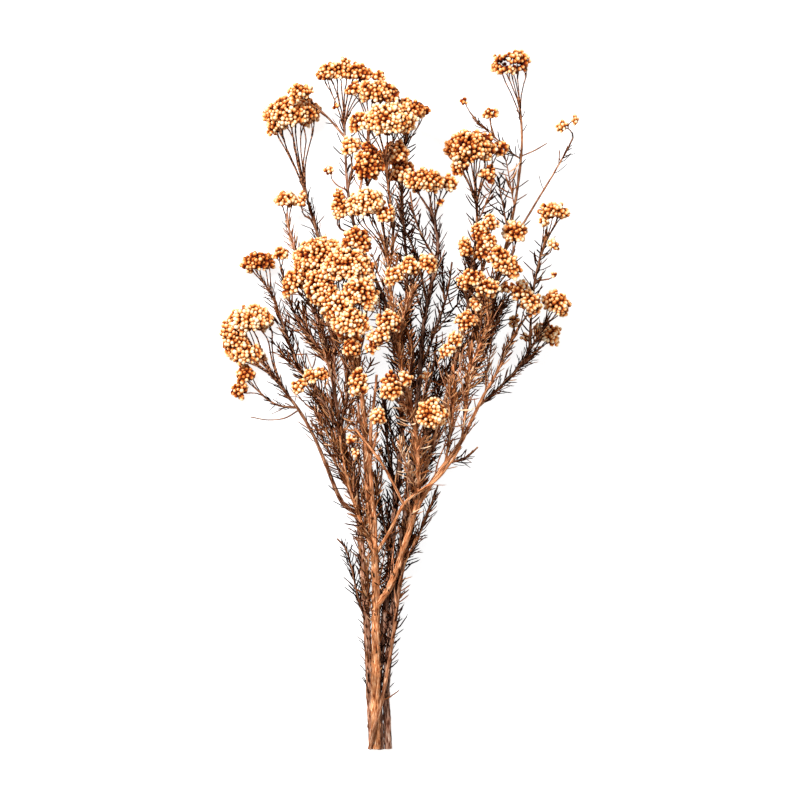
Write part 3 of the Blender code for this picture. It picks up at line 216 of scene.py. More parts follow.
    ("shoot_o", "right", 1.0, [(405, 520, 1.0), (417, 492, 17, 0.95), (426, 465, 20, 0.9),
        (433, 440, 22, 0.8), (438, 420, 24, 0.6)]),
    ("shoot_q", "right", 1.0, [(417, 412, 1.0), (428, 388, 34, 0.9), (434, 362, 37, 0.8),
        (437, 335, 40, 0.6)]),
    ("shoot_f", "right", 1.0, [(411, 470, 1.0), (421, 445, 25, 0.9), (431, 418, 27, 0.8),
        (438, 392, 28, 0.7), (443, 365, 29, 0.6)]),
], "stem_slender": [
    ("slender", "", 0.6, [(369.5, 750, 12.2, 1.3), (374, 730, 15.4, 1.3), (381, 705, 12.8, 1.3),
        (386, 680, 8.0, 1.35), (391, 650, 8.4, 1.4), (394, 630, 9.4, 1.4), (398, 598, 12, 1.5),
        (403, 565, 15, 1.5), (408, 535, 19.5, 1.6), (414, 505, 23.5, 1.6), (425, 470, 29, 1.6),
        (440, 420, 36, 1.5), (452, 375, 41, 1.4), (462, 335, 43, 1.3), (470, 295, 44, 1.2),
        (475, 250, 44, 1.1), (477, 215, 43, 1.0), (475, 190, 42, 0.8)]),
    ("n", "slender", 0.6, [(444, 407, 1.2), (460, 393, 37, 1.2), (471, 375, 36, 1.2), (481, 350, 35, 1.15),
        (490, 320, 34, 1.1), (498, 280, 33, 1.05), (505, 250, 32, 1.0), (512, 220, 30, 1.0),
        (518, 185, 28, 0.95), (522, 145, 24, 0.9), (521, 115, 18, 0.85), (519, 96, 13, 0.8)]),
    ("shoot_r", "slender", 1.0, [(452, 375, 1.0), (461, 352, 38, 0.9), (476, 330, 38, 0.8),
        (484, 306, 38, 0.6)]),
    ("shoot_s", "n", 1.0, [(480, 352, 0.9), (476, 325, 28, 0.85), (478, 298, 28, 0.8), (475, 272, 28, 0.7),
        (468, 252, 28, 0.6)]),
    ("o", "n", 0.0, [(521, 160, 0.6), (508, 150, 27, 0.6), (495, 137, 28, 0.55), (480, 124, 29, 0.55),
        (470, 112, 30, 0.55)]),
    ("p", "o", 0.0, [(495, 137, 0.55), (492, 128, 27, 0.55)]),
    ("bare", "n", 0.0, [(522, 156, 0.55), (535, 150, 24, 0.5), (547, 143, 22, 0.4)]),
    ("r", "n", 0.5, [(505, 252, 0.8), (523, 224, 29, 0.75), (540, 196, 26, 0.7), (554, 173, 23, 0.65),
        (566, 152, 20, 0.6), (573, 138, 18, 0.55)]),
    ("u", "n", 0.3, [(499, 278, 0.8), (508, 264, 42, 0.75), (513, 252, 46, 0.7)]),
    ("v", "slender", 0.5, [(470, 296, 0.9), (478, 284, 52, 0.85), (482, 272, 57, 0.7)]),
    ("w", "slender", 0.4, [(468, 305, 0.8), (464, 287, 54, 0.75), (465, 270, 62, 0.7)]),
    ("x", "slender", 0.5, [(463, 332, 0.8), (478, 316, 50, 0.8), (490, 298, 56, 0.75), (497, 284, 60, 0.7)]),
    ("aa", "n", 0.3, [(466, 383, 0.85), (481, 363, 41, 0.8), (492, 336, 44, 0.75), (500, 312, 47, 0.7),
        (504, 299, 48, 0.6)]),
]}

# node, twig that carries it, lobes. A lobe: middle on the sheet, height above the surface, width, how far
# it stands along its own axis, and that axis in degrees clockwise from straight up the sheet.
HEADS = [
    ("head_01", "a", [(291, 111, 14, 58, 33, -6), (276, 124, 14, 26, 19, -35)]),
    ("head_02", "a2", [(299, 92, 32, 25, 20, -20)]),
    ("head_03", "back", [(332, 71, 40, 34, 21, -8), (358, 72, 42, 30, 20, 5), (378, 76, 42, 15, 12, 20),
        (345, 62, 42, 11, 10, 0), (336, 106, 46, 7, 7, -30)]),
    ("head_04", "c", [(379, 92, 60, 42, 22, 8), (354, 89, 58, 18, 14, -15)]),
    ("head_05", "d", [(408, 109, 52, 47, 20, 4)]),
    ("head_06", "e", [(390, 121, 92, 50, 31, 2), (360, 123, 90, 22, 18, -30)]),
    ("head_07", "f", [(351, 147, 78, 21, 19, -10)]),
    ("head_08", "g", [(369, 163, 82, 26, 37, 3)]),
    ("head_09", "h", [(402, 172, 66, 22, 22, 8), (396, 153, 74, 24, 22, -5)]),
    ("head_10", "right", [(425, 181, 84, 41, 25, 4), (449, 184, 78, 20, 17, 20), (440, 203, 76, 8, 8, 40)]),
    ("head_11", "j", [(339, 206, 72, 16, 32, -4)]),
    ("head_12", "rise", [(366, 204, 97, 40, 29, -6), (386, 215, 97, 22, 21, 20)]),
    ("head_13", "l", [(302, 200, 46, 10, 16, 0)]),
    ("head_14", "left", [(286, 199, 28, 26, 18, -4)]),
    ("head_15", "n", [(511, 62, 10, 41, 25, -6)]),
    ("head_16", "o", [(463, 101, 30, 9, 9, -30)]),
    ("head_17", "p", [(490, 113, 26, 14, 11, 0)]),
    ("head_18", "slender", [(470, 147, 42, 52, 32, -4), (459, 166, 44, 20, 17, -60),
        (489, 174, 42, 17, 15, 40), (500, 149, 38, 13, 15, 30)]),
    ("head_19", "r", [(562, 126, 16, 12, 10, -50), (576, 120, 16, 8, 11, 5)]),
    ("head_20", "s", [(554, 210, 24, 33, 18, 4), (544, 221, 25, 13, 12, -40)]),
    ("head_21", "t", [(554, 245, 32, 14, 11, 30)]),
    ("head_22", "u", [(515, 231, 50, 25, 24, 0)]),
    ("head_23", "v", [(490, 223, 66, 15, 12, 10), (480, 233, 64, 16, 15, -30), (488, 241, 66, 17, 15, 20),
        (482, 253, 62, 15, 14, -10)]),
    ("head_24", "w", [(465, 247, 70, 16, 23, -4)]),
    ("head_25", "x", [(497, 256, 66, 20, 17, -30), (508, 267, 66, 26, 20, 30)]),
    ("head_26", "y", [(470, 279, 84, 24, 16, -30), (486, 288, 82, 20, 18, 20)]),
    ("head_27", "z", [(480, 304, 70, 18, 17, 25), (465, 321, 68, 17, 17, -40)]),
    ("head_28", "aa", [(505, 288, 51, 11, 10, 10)]),
    ("head_29", "fork", [(520, 291, 46, 18, 16, -20), (531, 303, 44, 20, 18, 35)]),
    ("head_30", "ac", [(557, 303, 24, 31, 20, 25)]),
    ("head_31", "ad", [(548, 333, 6, 25, 19, 25)]),
    ("head_32", "ae", [(515, 321, 27, 11, 15, 0)]),
    ("head_33", "af", [(525, 337, 20, 8, 8, 0)]),
    ("head_34", "ag", [(257, 261, 9, 35, 21, -10)]),
    ("head_35", "ah", [(281, 254, 34, 18, 14, 0)]),
    ("head_36", "ai", [(320, 258, 64, 53, 38, -10), (294, 282, 66, 28, 18, -45)]),
    ("head_37", "aj", [(357, 241, 78, 28, 23, 10)]),
    ("head_38", "ak", [(349, 266, 88, 47, 28, 4), (320, 289, 84, 27, 32, -30)]),
    ("head_39", "front", [(361, 294, 100, 33, 27, 15), (336, 306, 98, 28, 28, -40),
        (351, 322, 98, 33, 26, 5)]),
    ("head_40", "left_outer", [(250, 319, 11, 44, 25, -5), (233, 338, 11, 23, 36, -15),
        (246, 354, 11, 34, 18, 0)]),
    ("head_41", "an", [(245, 374, 6, 22, 19, -20), (238, 390, 5, 18, 17, -60)]),
    ("head_42", "ao", [(299, 386, 57, 17, 15, -40), (317, 375, 59, 26, 16, -5)]),
    ("head_43", "ap", [(389, 322, 98, 24, 19, 10), (379, 337, 98, 22, 16, -30), (371, 349, 95, 7, 7, -60)]),
    ("head_44", "aq", [(353, 346, 90, 16, 22, 0)]),
    ("head_45", "ar", [(358, 383, 76, 17, 28, 0)]),
    ("head_46", "as", [(391, 386, 86, 23, 32, -12), (406, 378, 86, 13, 13, 40)]),
    ("head_47", "at", [(431, 414, 80, 33, 32, 8)]),
    ("head_48", "au", [(428, 263, 102, 23, 20, 30), (410, 267, 102, 22, 19, 0),
        (394, 277, 100, 21, 17, -40)]),
    ("head_49", "av", [(455, 339, 66, 15, 14, 10), (447, 350, 65, 14, 13, -40)]),
    ("head_50", "aw", [(378, 416, 70, 17, 18, 0)]),
    ("head_51", "bit_a", [(425, 376, 50, 8, 8, 20)]),
    ("head_52", "bit_b", [(357, 453, 45, 9, 8, -30), (351, 440, 49, 10, 9, -20)]),
    ("head_53", "bit_d", [(328, 170, 48, 10, 12, -20)]),
    ("head_54", "bit_e", [(555, 275, 32, 7, 7, 60)]),
]


def on_sheet(x, y, z):
    return np.array([(x - ORIGIN[0]) * SQUARE, (ORIGIN[1] - y) * SQUARE, z])


def sheet_y(points):
    """The line of the sheet that each point is above."""
    return ORIGIN[1] - points[..., 1] / SQUARE


def lengths_along(line):
    """How far along a line each of its points is, in mm."""
    return np.concatenate([[0], np.cumsum(np.linalg.norm(np.diff(line[:, :3], axis=0), axis=1))])


def resampled(line, step):
    """The same line with its points evenly spaced, each with the radius there."""
    along = lengths_along(line)
    places = np.linspace(0, along[-1], max(2, int(round(along[-1] / step)) + 1))
    return np.stack([np.interp(places, along, line[:, k]) for k in range(4)], axis=1)


def smooth_line(points):
    """Points every STEP mm on a smooth line through the given ones."""
    points = np.array(points, float)
    ends = np.vstack([2 * points[0] - points[1], points, 2 * points[-1] - points[-2]])
    found = []
    for a, b, c, d in zip(ends, ends[1:], ends[2:], ends[3:]):
        for t in np.linspace(0, 1, BETWEEN, endpoint=False):
            found.append(b + 0.5 * t * (c - a + t * (2 * a - 5 * b + 4 * c - d + t * (3 * (b - c) + d - a))))
    return resampled(np.array(found + [points[-1]]), STEP)


def lobes_of(rows, lift=0.0):
    """Each lobe's middle, axes (across, along, deep) and half sizes in mm."""
    lobes = []
    for x, y, z, across, along, turn in rows:
        cos, sin = math.cos(math.radians(turn)), math.sin(math.radians(turn))
        axes = np.array([[cos, -sin, 0], [sin, cos, 0], [0, 0, 1]])
        half = np.array([across, along, DEPTH * max(across, LONG_DEPTH * along)]) * SQUARE / 2
        lobes.append((on_sheet(x, y, z + lift), axes, half))
    return lobes


def extents(lobe):
    """How far a lobe reaches from its middle along x, y and z."""
    _, axes, half = lobe
    return np.sqrt(((axes.T * half) ** 2).sum(axis=1))


def settled_heads():
    """How far each head is lifted or lowered so that no two share a place."""
    lobes = [(i, lobe) for i, (_, _, rows) in enumerate(HEADS) for lobe in lobes_of(rows)]
    owner = np.array([i for i, _ in lobes])
    middle = np.array([lobe[0] for _, lobe in lobes])
    reach = np.array([extents(lobe) for _, lobe in lobes])
    lift = np.zeros(len(HEADS))
    lowest = np.zeros(len(HEADS))
    for i in range(len(HEADS)):
        lowest[i] = LOWEST * reach[owner == i, 2].max() - middle[owner == i, 2].min()
    for _ in range(HEAD_ROUNDS):
        lift = np.maximum(lift, lowest)
        z = middle[:, 2] + lift[owner]
        push = np.zeros(len(HEADS))
        for i in range(len(lobes)):
            total = reach[i] + reach
            flat = 1 - (((middle[i, :2] - middle[:, :2]) / total[:, :2]) ** 2).sum(axis=1)
            need = total[:, 2] * np.sqrt(np.maximum(flat, 0)) + HEAD_GAP
            apart = z[i] - z + TIE * (i - np.arange(len(lobes)))
            close = (flat > 0) & (np.abs(apart) < need) & (owner != owner[i])
            for j in np.nonzero(close)[0]:
                push[owner[i]] += np.sign(apart[j]) * (need[j] - abs(apart[j])) / HEAD_MOVE
        if not push.any():
            break
        lift += np.clip(push, -HEAD_STEP, HEAD_STEP)
    return np.maximum(lift, lowest)


def stalks_of(foot, way, lobes, rng):
    """The lines from a head's knot up into its lobes."""
    found = []
    for middle, axes, half in lobes:
        count = 1 if half[0] < TWO_STALKS else 2
        for k in range(count):
            spread = 0.0 if count == 1 else STALK_APART
            angle = 2 * math.pi * (k + 0.25) / count + rng.uniform(-STALK_TURN, STALK_TURN)
            end = middle + axes.T @ (half * (spread * math.cos(angle), STALK_REACH, spread * math.sin(angle)))
            bend = foot + way * STALK_BEND[0] * np.linalg.norm(end - foot) + STALK_BEND[1] * (end - foot)
            found.append(np.array([foot, bend, end]))
    return found


def pushed_off(points, radii, lobe, margin):
    """How far up or down each point has to go to be clear of a lobe."""
    middle, axes, half = lobe
    room = half + margin
    local = (points - middle) @ axes.T / (room + radii[:, None])
    flat = np.sqrt(np.maximum(1 - local[:, 0] ** 2 - local[:, 1] ** 2, 0))
    side = np.where(local[:, 2] >= 0, 1, -1)
    return np.where((local**2).sum(axis=1) < 1, side * (flat - np.abs(local[:, 2])) * (room[2] + radii), 0)


def twig_from(route, parent_line):
    """A twig's smooth line, and the number of the point of its parent that it grows from."""
    if parent_line is None:
        at, first = 0, np.append(on_sheet(*route[0][:3]), route[0][3])
    else:
        start = on_sheet(*route[0][:2], 0)[:2]
        at = int(np.argmin(np.linalg.norm(parent_line[:, :2] - start, axis=1)))
        first = np.append(parent_line[at, :3], route[0][-1])
    return at, smooth_line([first] + [np.append(on_sheet(x, y, z), radius) for x, y, z, radius in route[1:]])


def grown():
    """Every twig with a point every STEP mm, and every head's lobes, knot and stalks."""
    lift = settled_heads()
    head_of = {twig: i for i, (_, twig, _) in enumerate(HEADS)}
    twigs = {}
    for stem, rows in TWIGS.items():
        for name, parent, leafy, route in rows:
            at, line = twig_from(route, twigs[parent]["line"] if parent else None)
            if name in head_of:
                share = np.clip(np.linspace(-1, 1, len(line)), 0, 1)
                line[:, 2] += lift[head_of[name]] * share * share * (3 - 2 * share)
            twigs[name] = {"node": stem, "parent": parent, "at": at, "leafy": leafy, "line": line}
    heads = {}
    for i, (name, twig, rows) in enumerate(HEADS):
        line = twigs[twig]["line"]
        way = line[-1, :3] - line[-4, :3]
        way /= np.linalg.norm(way)
        foot = line[-1, :3] + way * (JOINT_GAP + FOOT)
        lobes = lobes_of(rows, lift[i])
        stalks = stalks_of(foot, way, lobes, random.Random(name))
        heads[name] = {"twig": twig, "foot": foot, "lobes": lobes, "stalks": stalks}
    spread_twigs(twigs, heads)
    return twigs, heads


def along_stalks(head):
    """Points close together on a head's knot and stalks."""
    found = [head["foot"][None]]
    for a, b, c in head["stalks"]:
        t = np.linspace(0, 1, BETWEEN)[:, None]
        found += [a + (b - a) * t, b + (c - b) * t]
    return np.concatenate(found)


def crowding(line, name, twigs, tree, places):
    """How far up or down each point of a twig has to go to clear other stems and other heads' stalks."""
    push = np.zeros(len(line))
    bundle = on_sheet(0, BUNDLE_Y, 0)[1]
    for i, point in enumerate(line):
        for _, index, far in tree.find_range(point[:3], NEAR):
            place, radius, owner, fixed = places[index]
            if owner == name or (not fixed and twigs[owner]["node"] == twigs[name]["node"]):
                continue
            gap = STALK_GAP if fixed else BUNDLE_GAP if point[1] < bundle else OPEN_GAP
            short = math.sqrt((point[3] + radius + gap) ** 2 + (STEP / 2) ** 2) - far
            if short > abs(push[i]):
                push[i] = short if point[2] >= place[2] else -short
    return push


def spread_twigs(twigs, heads):
    """Bends each twig up or down until it is clear of the other stems and of the heads it doesn't carry."""
    stalks = [(p, STALK, head["twig"], True) for head in heads.values() for p in along_stalks(head)]
    lobes = [(lobe, head["twig"]) for head in heads.values() for lobe in head["lobes"]]
    kernel = np.array(SPREAD) / sum(SPREAD)
    for _ in range(ROUNDS):
        places = stalks + [(p[:3].copy(), p[3], name, False) for name, t in twigs.items() for p in t["line"]]
        tree = kdtree.KDTree(len(places))
        for index, place in enumerate(places):
            tree.insert(place[0], index)
        tree.balance()
        for name, twig in twigs.items():
            line = twig["line"]
            push = crowding(line, name, twigs, tree, places)
            for lobe, carrier in lobes:
                if carrier != name:
                    push += LOBE_PUSH * pushed_off(line[:, :3], line[:, 3], lobe, LOBE_GAP)
            spread = np.convolve(np.pad(push, len(SPREAD) // 2, mode="edge"), kernel, mode="valid")
            push = np.where(np.abs(spread) > np.abs(push) * SHARP, spread, push * SHARP)
            push *= np.clip((len(line) - 1 - np.arange(len(line))) / HELD_END, 0, 1)
            if not twig["parent"]:
                push *= np.clip(np.arange(len(line)) / HELD_START, 0, 1)
            line[:, 2] = np.maximum(line[:, 2] + MOVE * push, np.minimum(line[:, 3], line[:, 2]))
        for twig in twigs.values():
            if twig["parent"]:
                line = twig["line"]
                change = twigs[twig["parent"]]["line"][twig["at"], 2] - line[0, 2]
                line[:, 2] += change * np.clip(1 - np.arange(len(line)) / FOLLOW, 0, 1)


twigs, heads = grown()


# The stems and twigs. Woody, dried and stripped near the cut ends; the bark is thin, finely ridged along
# the grain and knotted where leaves have dropped. A stem with all its side twigs grows as one piece.
# The front stem is orange-brown, the others a greyer pink-brown, and the young twigs are warmer and darker.
GRAIN = 0.0005  # m between the ridges of the bark, drawn a little coarser than they are
ALONG_GRAIN = 0.06  # how closely the pattern repeats along the grain, over how closely it does across it
WEAR = (170, 80, 1)  # patches of wear in a metre of bark, round the stem and along it
RING = 2.4  # mm between the rings of a twig
CUT_END = 1.25  # mm, radius from which a twig's end is seen as cut wood
UNEVEN = 0.06  # share of its radius by which the bark of a twig is uneven
KNOTS = (-0.05, 0.08)  # middle and spread of the draw, in radii, that makes a knot where it is over 0
END_DOME = 0.15  # radii by which the end of a twig is domed
ABOVE = 0.02  # mm that the lowest bark and florets stay above the surface
CORNERS = ((0, 0), (1, 0), (1, 1), (0, 1))  # a face's corners: places round the twig, rings along it
BARK, NEEDLES, WOOD = 0, 1, 2  # the places of a stem's materials
STEM_MARKS = ("warmth", "young", "light")  # what a stem's mesh keeps at each point
BARK_STOPS = (0.36, 0.45, 0.56, 0.67)  # from the furrows to the ridges of the grain, with painted shade in the furrows and painted highlight on the ridges
GREY_BARK = ("#250b03", "#7c5140", "#bd9482", "#f3dacb")
WARM_BARK = ("#3f1203", "#a65c33", "#dc9764", "#ffdcb8")
YOUNG_BARK = ("#1f0801", "#683520", "#ae7754", "#f2c8a4")
MULTIPLY = {"data_type": "RGBA", "blend_type": "MULTIPLY", "in:0": 1.0}  # settings that darken by a number


def linear(code):
    """An sRGB hex colour as the linear values that a shader takes."""
    parts = [int(code[i:i + 2], 16) / 255 for i in (1, 3, 5)]
    return tuple(v / 12.92 if v <= 0.04045 else ((v + 0.055) / 1.055) ** 2.4 for v in parts) + (1.0,)


def node(tree, kind, settings=(), links=()):
    """A shader node with its settings, of which "in:..." are inputs and "stops" a ramp's, and its links."""
    made = tree.nodes.new(kind)
    for name, value in dict(settings).items():
        if name == "stops":
            while len(made.color_ramp.elements) < len(value):
                made.color_ramp.elements.new(0.5)
            for element, (place, colour) in zip(made.color_ramp.elements, value):
                element.position = place
                element.color = linear(colour)
        elif name.startswith("in:"):
            key = name[3:]
            made.inputs[int(key) if key.isdigit() else key].default_value = value
        else:
            setattr(made, name, value)
    for key, source in dict(links).items():
        tree.links.new(source, made.inputs[key])
    return made


def new_material(name, roughness, specular):
    """A material, its nodes and its shader. Dried plants are matt, with next to no shine."""
    made = bpy.data.materials.new(name)
    made.use_nodes = True
    shader = made.node_tree.nodes["Principled BSDF"]
    shader.inputs["Roughness"].default_value = roughness
    shader.inputs["Specular IOR Level"].default_value = specular
    return made, made.node_tree, shader


def dried_bark():
    """Dried woody bark: matt and fibrous. Its dark furrows and paler ridges are its grain, deepened with
    painted shade in the furrows and painted highlight on the ridges, and the 'light' mark paints it darker
    lower in the bunch.
    """
    made, tree, shader = new_material("dried_bark", 0.85, 0.04)
    grain = node(tree, "ShaderNodeUVMap", {"uv_map": "grain"}).outputs["UV"]
    fibres = node(tree, "ShaderNodeMapping", {"in:Scale": (1 / GRAIN, ALONG_GRAIN / GRAIN, 1)},
                  {"Vector": grain})
    ridges = node(tree, "ShaderNodeTexNoise", {"in:Scale": 1.0, "in:Detail": 4.0, "in:Roughness": 0.65},
                  {"Vector": fibres.outputs[0]}).outputs["Fac"]
    wide = node(tree, "ShaderNodeMapping", {"in:Scale": WEAR}, {"Vector": grain})
    patches = node(tree, "ShaderNodeTexNoise", {"in:Scale": 1.0, "in:Detail": 3.0},
                   {"Vector": wide.outputs[0]})
    grey, warm, fresh = (
        node(tree, "ShaderNodeValToRGB", {"stops": tuple(zip(BARK_STOPS, codes))}, {0: ridges}).outputs[0]
        for codes in (GREY_BARK, WARM_BARK, YOUNG_BARK))
    warmth, young, light = (
        node(tree, "ShaderNodeAttribute", {"attribute_name": mark}).outputs["Fac"] for mark in STEM_MARKS)
    old = node(tree, "ShaderNodeMix", {"data_type": "RGBA"}, {0: warmth, 6: grey, 7: warm})
    bark = node(tree, "ShaderNodeMix", {"data_type": "RGBA"}, {0: young, 6: old.outputs[2], 7: fresh})
    worn = node(tree, "ShaderNodeMapRange", {"in:1": 0.36, "in:2": 0.66, "in:3": 0.5, "in:4": 1.2},
                {0: patches.outputs["Fac"]})
    dusty = node(tree, "ShaderNodeMix", MULTIPLY, {6: bark.outputs[2], 7: worn.outputs[0]})
    shaded = node(tree, "ShaderNodeMix", MULTIPLY, {6: dusty.outputs[2], 7: light})
    relief = node(tree, "ShaderNodeBump", {"in:Strength": 1.0, "in:Distance": GRAIN}, {"Height": ridges})
    tree.links.new(shaded.outputs[2], shader.inputs["Base Color"])
    tree.links.new(relief.outputs[0], shader.inputs["Normal"])
    return made


def grainy(name, roughness, specular, scale, detail, stops, relief=None):
    """A matt material with so many grains to the metre, in a few colours, and their relief and its depth."""
    made, tree, shader = new_material(name, roughness, specular)
    place = node(tree, "ShaderNodeTexCoord").outputs["Object"]
    fine = node(tree, "ShaderNodeTexNoise", {"in:Scale": scale, "in:Detail": detail}, {"Vector": place})
    colour = node(tree, "ShaderNodeValToRGB", {"stops": stops}, {0: fine.outputs["Fac"]})
    tree.links.new(colour.outputs[0], shader.inputs["Base Color"])
    if relief:
        bump = node(tree, "ShaderNodeBump", {"in:Strength": relief[0], "in:Distance": relief[1]},
                    {"Height": fine.outputs["Fac"]})
        tree.links.new(bump.outputs[0], shader.inputs["Normal"])
    return made


# The pale end of a stem, cut across the grain: specks about 0.7 mm wide, the ends of the wood's fibres.
cut_wood = grainy("cut_wood", 0.9, 0.2, 1500.0, 3.0, (
    (0.3, "#8d6a4c"), (0.55, "#c9a984"), (0.75, "#ddc5a4")), (0.5, 0.0003))


class Gathered:
    """Points, faces and their marks, gathered for one mesh. A mark is a number kept at each point."""

    def __init__(self, mark_names):
        self.points, self.faces, self.looks, self.marks, self.grain = [], [], [], [], []
        self.mark_names = mark_names
        self.count = 0

    def add(self, points, faces, look, marks=0.0, grain=None):
        points = np.asarray(points, float)
        faces = np.asarray(faces, int)
        self.points.append(points)
        self.faces.append(faces + self.count)
        self.looks.append(np.full(len(faces), look))
        self.marks.append(np.broadcast_to(np.asarray(marks, float), (len(points), len(self.mark_names))))
        self.grain.append(np.zeros((faces.size, 2)) if grain is None else grain)
        self.count += len(points)

    def mesh(self, name, materials):
        """The mesh, from mm to metres, smooth, with its marks and the direction of its grain."""
        points = np.concatenate(self.points) / 1000
        made = bpy.data.meshes.new(name)
        made.vertices.add(len(points))
        made.vertices.foreach_set("co", points.astype(np.float32).ravel())
        sizes = np.concatenate([np.full(len(f), f.shape[1]) for f in self.faces])
        corners = np.concatenate([f.ravel() for f in self.faces])
        made.loops.add(len(corners))
        made.loops.foreach_set("vertex_index", corners.astype(np.int32))
        starts = np.concatenate([[0], np.cumsum(sizes)[:-1]])
        made.polygons.add(len(sizes))
        made.polygons.foreach_set("loop_start", starts.astype(np.int32))
        made.polygons.foreach_set("material_index", np.concatenate(self.looks).astype(np.int32))
        made.polygons.foreach_set("use_smooth", np.ones(len(sizes), bool))
        layer = made.uv_layers.new(name="grain")
        layer.uv.foreach_set("vector", np.concatenate(self.grain).astype(np.float32).ravel())
        marks = np.concatenate(self.marks).astype(np.float32)
        for k, mark_name in enumerate(self.mark_names):
            kept = made.attributes.new(mark_name, "FLOAT", "POINT")
            kept.data.foreach_set("value", marks[:, k].copy())
        for material in materials:
            made.materials.append(material)
        made.update()
        made.validate()
        return made


def shown(name, mesh, cad_node):
    """Puts a mesh in the scene in place of the solid of the same piece."""
    piece = bpy.data.objects.new(name, mesh)
    bpy.context.scene.collection.objects.link(piece)
    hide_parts(cad_node)
    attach(piece, "root")


def own_draw(name, first):
    """Random numbers of a piece's own, from its name."""
    return np.random.default_rng(sum(ord(c) * (i + first) for i, c in enumerate(name)))


def unit(vector):
    return vector / np.linalg.norm(vector)


def units(vectors):
    """Rows of length 1 in the same directions."""
    return vectors / np.linalg.norm(vectors, axis=1)[:, None]


def frames_along(line):
    """Directions along a line and two across it that don't twist."""
    ways = units(np.gradient(line[:, :3], axis=0))
    side = np.cross(ways[0], (0, 0, 1) if abs(ways[0][2]) < 0.9 else (1, 0, 0))
    sides = []
    for way in ways:
        side = unit(side - way * side.dot(way))
        sides.append(side)
    sides = np.array(sides)
    return ways, sides, np.cross(ways, sides)


def tube(line, radii, around, lowest):
    """A round bar along a line: its directions, its points ring by ring, and the faces between the rings."""
    ways, sides, ups = frames_along(line)
    angle = 2 * math.pi * np.arange(around) / around
    ring = np.cos(angle)[None, :, None] * sides[:, None] + np.sin(angle)[None, :, None] * ups[:, None]
    points = (line[:, None, :3] + ring * radii[:, :, None]).reshape(-1, 3)
    points[:, 2] = np.maximum(points[:, 2], lowest)
    i, k = np.indices((len(line) - 1, around))
    faces = np.stack([(i + up) * around + (k + right) % around for right, up in CORNERS], axis=-1)
    return ways, points, faces.reshape(-1, 4)


def bark_tube(gathered, line, around, marks, rng, knots):
    """A twig with knots where leaves have dropped, closed at both ends."""
    radii = line[:, 3][:, None] * (1 + knots * rng.normal(0, UNEVEN, (len(line), around)))
    radii *= 1 + knots * np.maximum(rng.normal(*KNOTS, len(line)), 0)[:, None]
    ways, points, faces = tube(line, radii, around, ABOVE)
    along = lengths_along(line) / 1000
    span = 2 * math.pi * line[:, 3].mean() / 1000 / around
    i, k = np.indices((len(line) - 1, around))
    grain = np.stack([np.stack([(k + right) * span, along[i + up]], -1) for right, up in CORNERS], axis=-2)
    gathered.add(points, faces, BARK, marks, grain.reshape(-1, 2) + rng.uniform(0, 9, 2))
    for place, order in ((0, -1), (len(line) - 1, 1)):
        middle = line[place, :3] + ways[place] * order * END_DOME * line[place, 3]
        rim = points[place * around:(place + 1) * around]
        fan = [(0, 1 + k, 1 + (k + 1) % around)[::order] for k in range(around)]
        gathered.add(np.vstack([middle, rim]), fan, WOOD if line[place, 3] > CUT_END else BARK, marks)


# The needle leaves and the short leafy side shoots. Narrow, leathery and rolled in at the edges, 7 to 13 mm
# long, dried to a dark brown; they are painted nearly black in the depth and paler where the light strikes,
# as painted shade and light. They sit all round the young twigs and lean towards the tips. Shoots of the same
# leaves grow from the twigs' sides.
LEAF_EVERY = 0.78  # mm of leafy twig for each needle
LEAF_LONG = (7.0, 13.5)  # mm
LEAF_WIDE = 0.52  # mm, half the width of a needle
LEAF_WIDTHS = (0.7, 1.15)  # times that width, drawn for each needle
LEAF_TURN = 2.4  # radians from one needle or shoot to the next round its twig, as leaves stand on a stem
LEAF_JITTER = 0.6  # radians by which a needle stands out of that place at most
LEAF_CLEAR = (0.4, 0.7, 1.0)  # places along a needle that have to be clear of the heads
LEAF_CURL = 0.7  # how far a needle bends towards its twig's way
FIRST_LEAF = 3.0  # mm from a twig's foot to its first needle
SHORT_TIP = (0.55, 0.45, 12.0)  # share of its length that a needle has at a tip, and gains in so many mm
# how needles stand: how far apart, degrees from the twig, how long, how far they bend, how wide
PLAIN = (1.0, (16.0, 58.0), 1.0, (-0.1, 0.4), 1.0)
COMB = (1.75, (50.0, 78.0), 1.25, (0.1, 0.45), 1.4)  # where they stand out like the teeth of a comb
ALL_LEFT = (0, 0, 1.0)  # lines of the sheet between which needles have dropped, and the share that is left
TWIG_FALL = (705, 110)  # line of the sheet where needles are fewest, and lines above it to where all are left
BACK_FALL = (698, 25)  # the same on the stem behind
LOW_FALL = (712, 30)  # and for the dark needles low down
FEWEST = 0.15  # share of the needles that is left there
LAST_LINE = 712  # line of the sheet below which no needle is left
BARE_TIP = 7.0  # mm without needles at a twig's tip
LEAFY_TIP = 0.5  # mm of it on the twigs that are leafy right up to their head
NEEDLE_LIGHT = (0.58, 0.72, 70.0)  # painted shade: brightness of a needle at the surface, what it gains, over how many mm
BARK_LIGHT = (0.72, 0.5, 60.0)  # the same for bark; bark and needles in the depth of the bunch are painted darker, as shade
BRIGHTEST = 1.2
DARK_TONE = (0.0, 0.09)  # middle of the needles' tints on dark twigs, and their spread below a tint of 0.1
TONES = (0.13, 0.36)  # middle of the tints on other twigs, and on those in the full light, whose needles are painted paler
TONE_SPREAD = 0.19
HIGH_TONE = (40, 60, 0.12)  # painted light: height in mm from which needles are painted paler, over how many mm, and by how much
PALEST = 0.9
SHOOT_EVERY = 8.5  # mm of leafy twig for each side shoot
SHOOT_LONG = (18.0, 48.0)  # mm
SHOOT_LEAN = (12.0, 32.0)  # degrees from the twig
SHOOT_THICK = 0.55  # mm, radius of a side shoot at its foot
SHOOT_FROM = 10.0  # mm from a twig's foot to its first side shoot
SHOOT_TO = 14  # mm at its tip without them
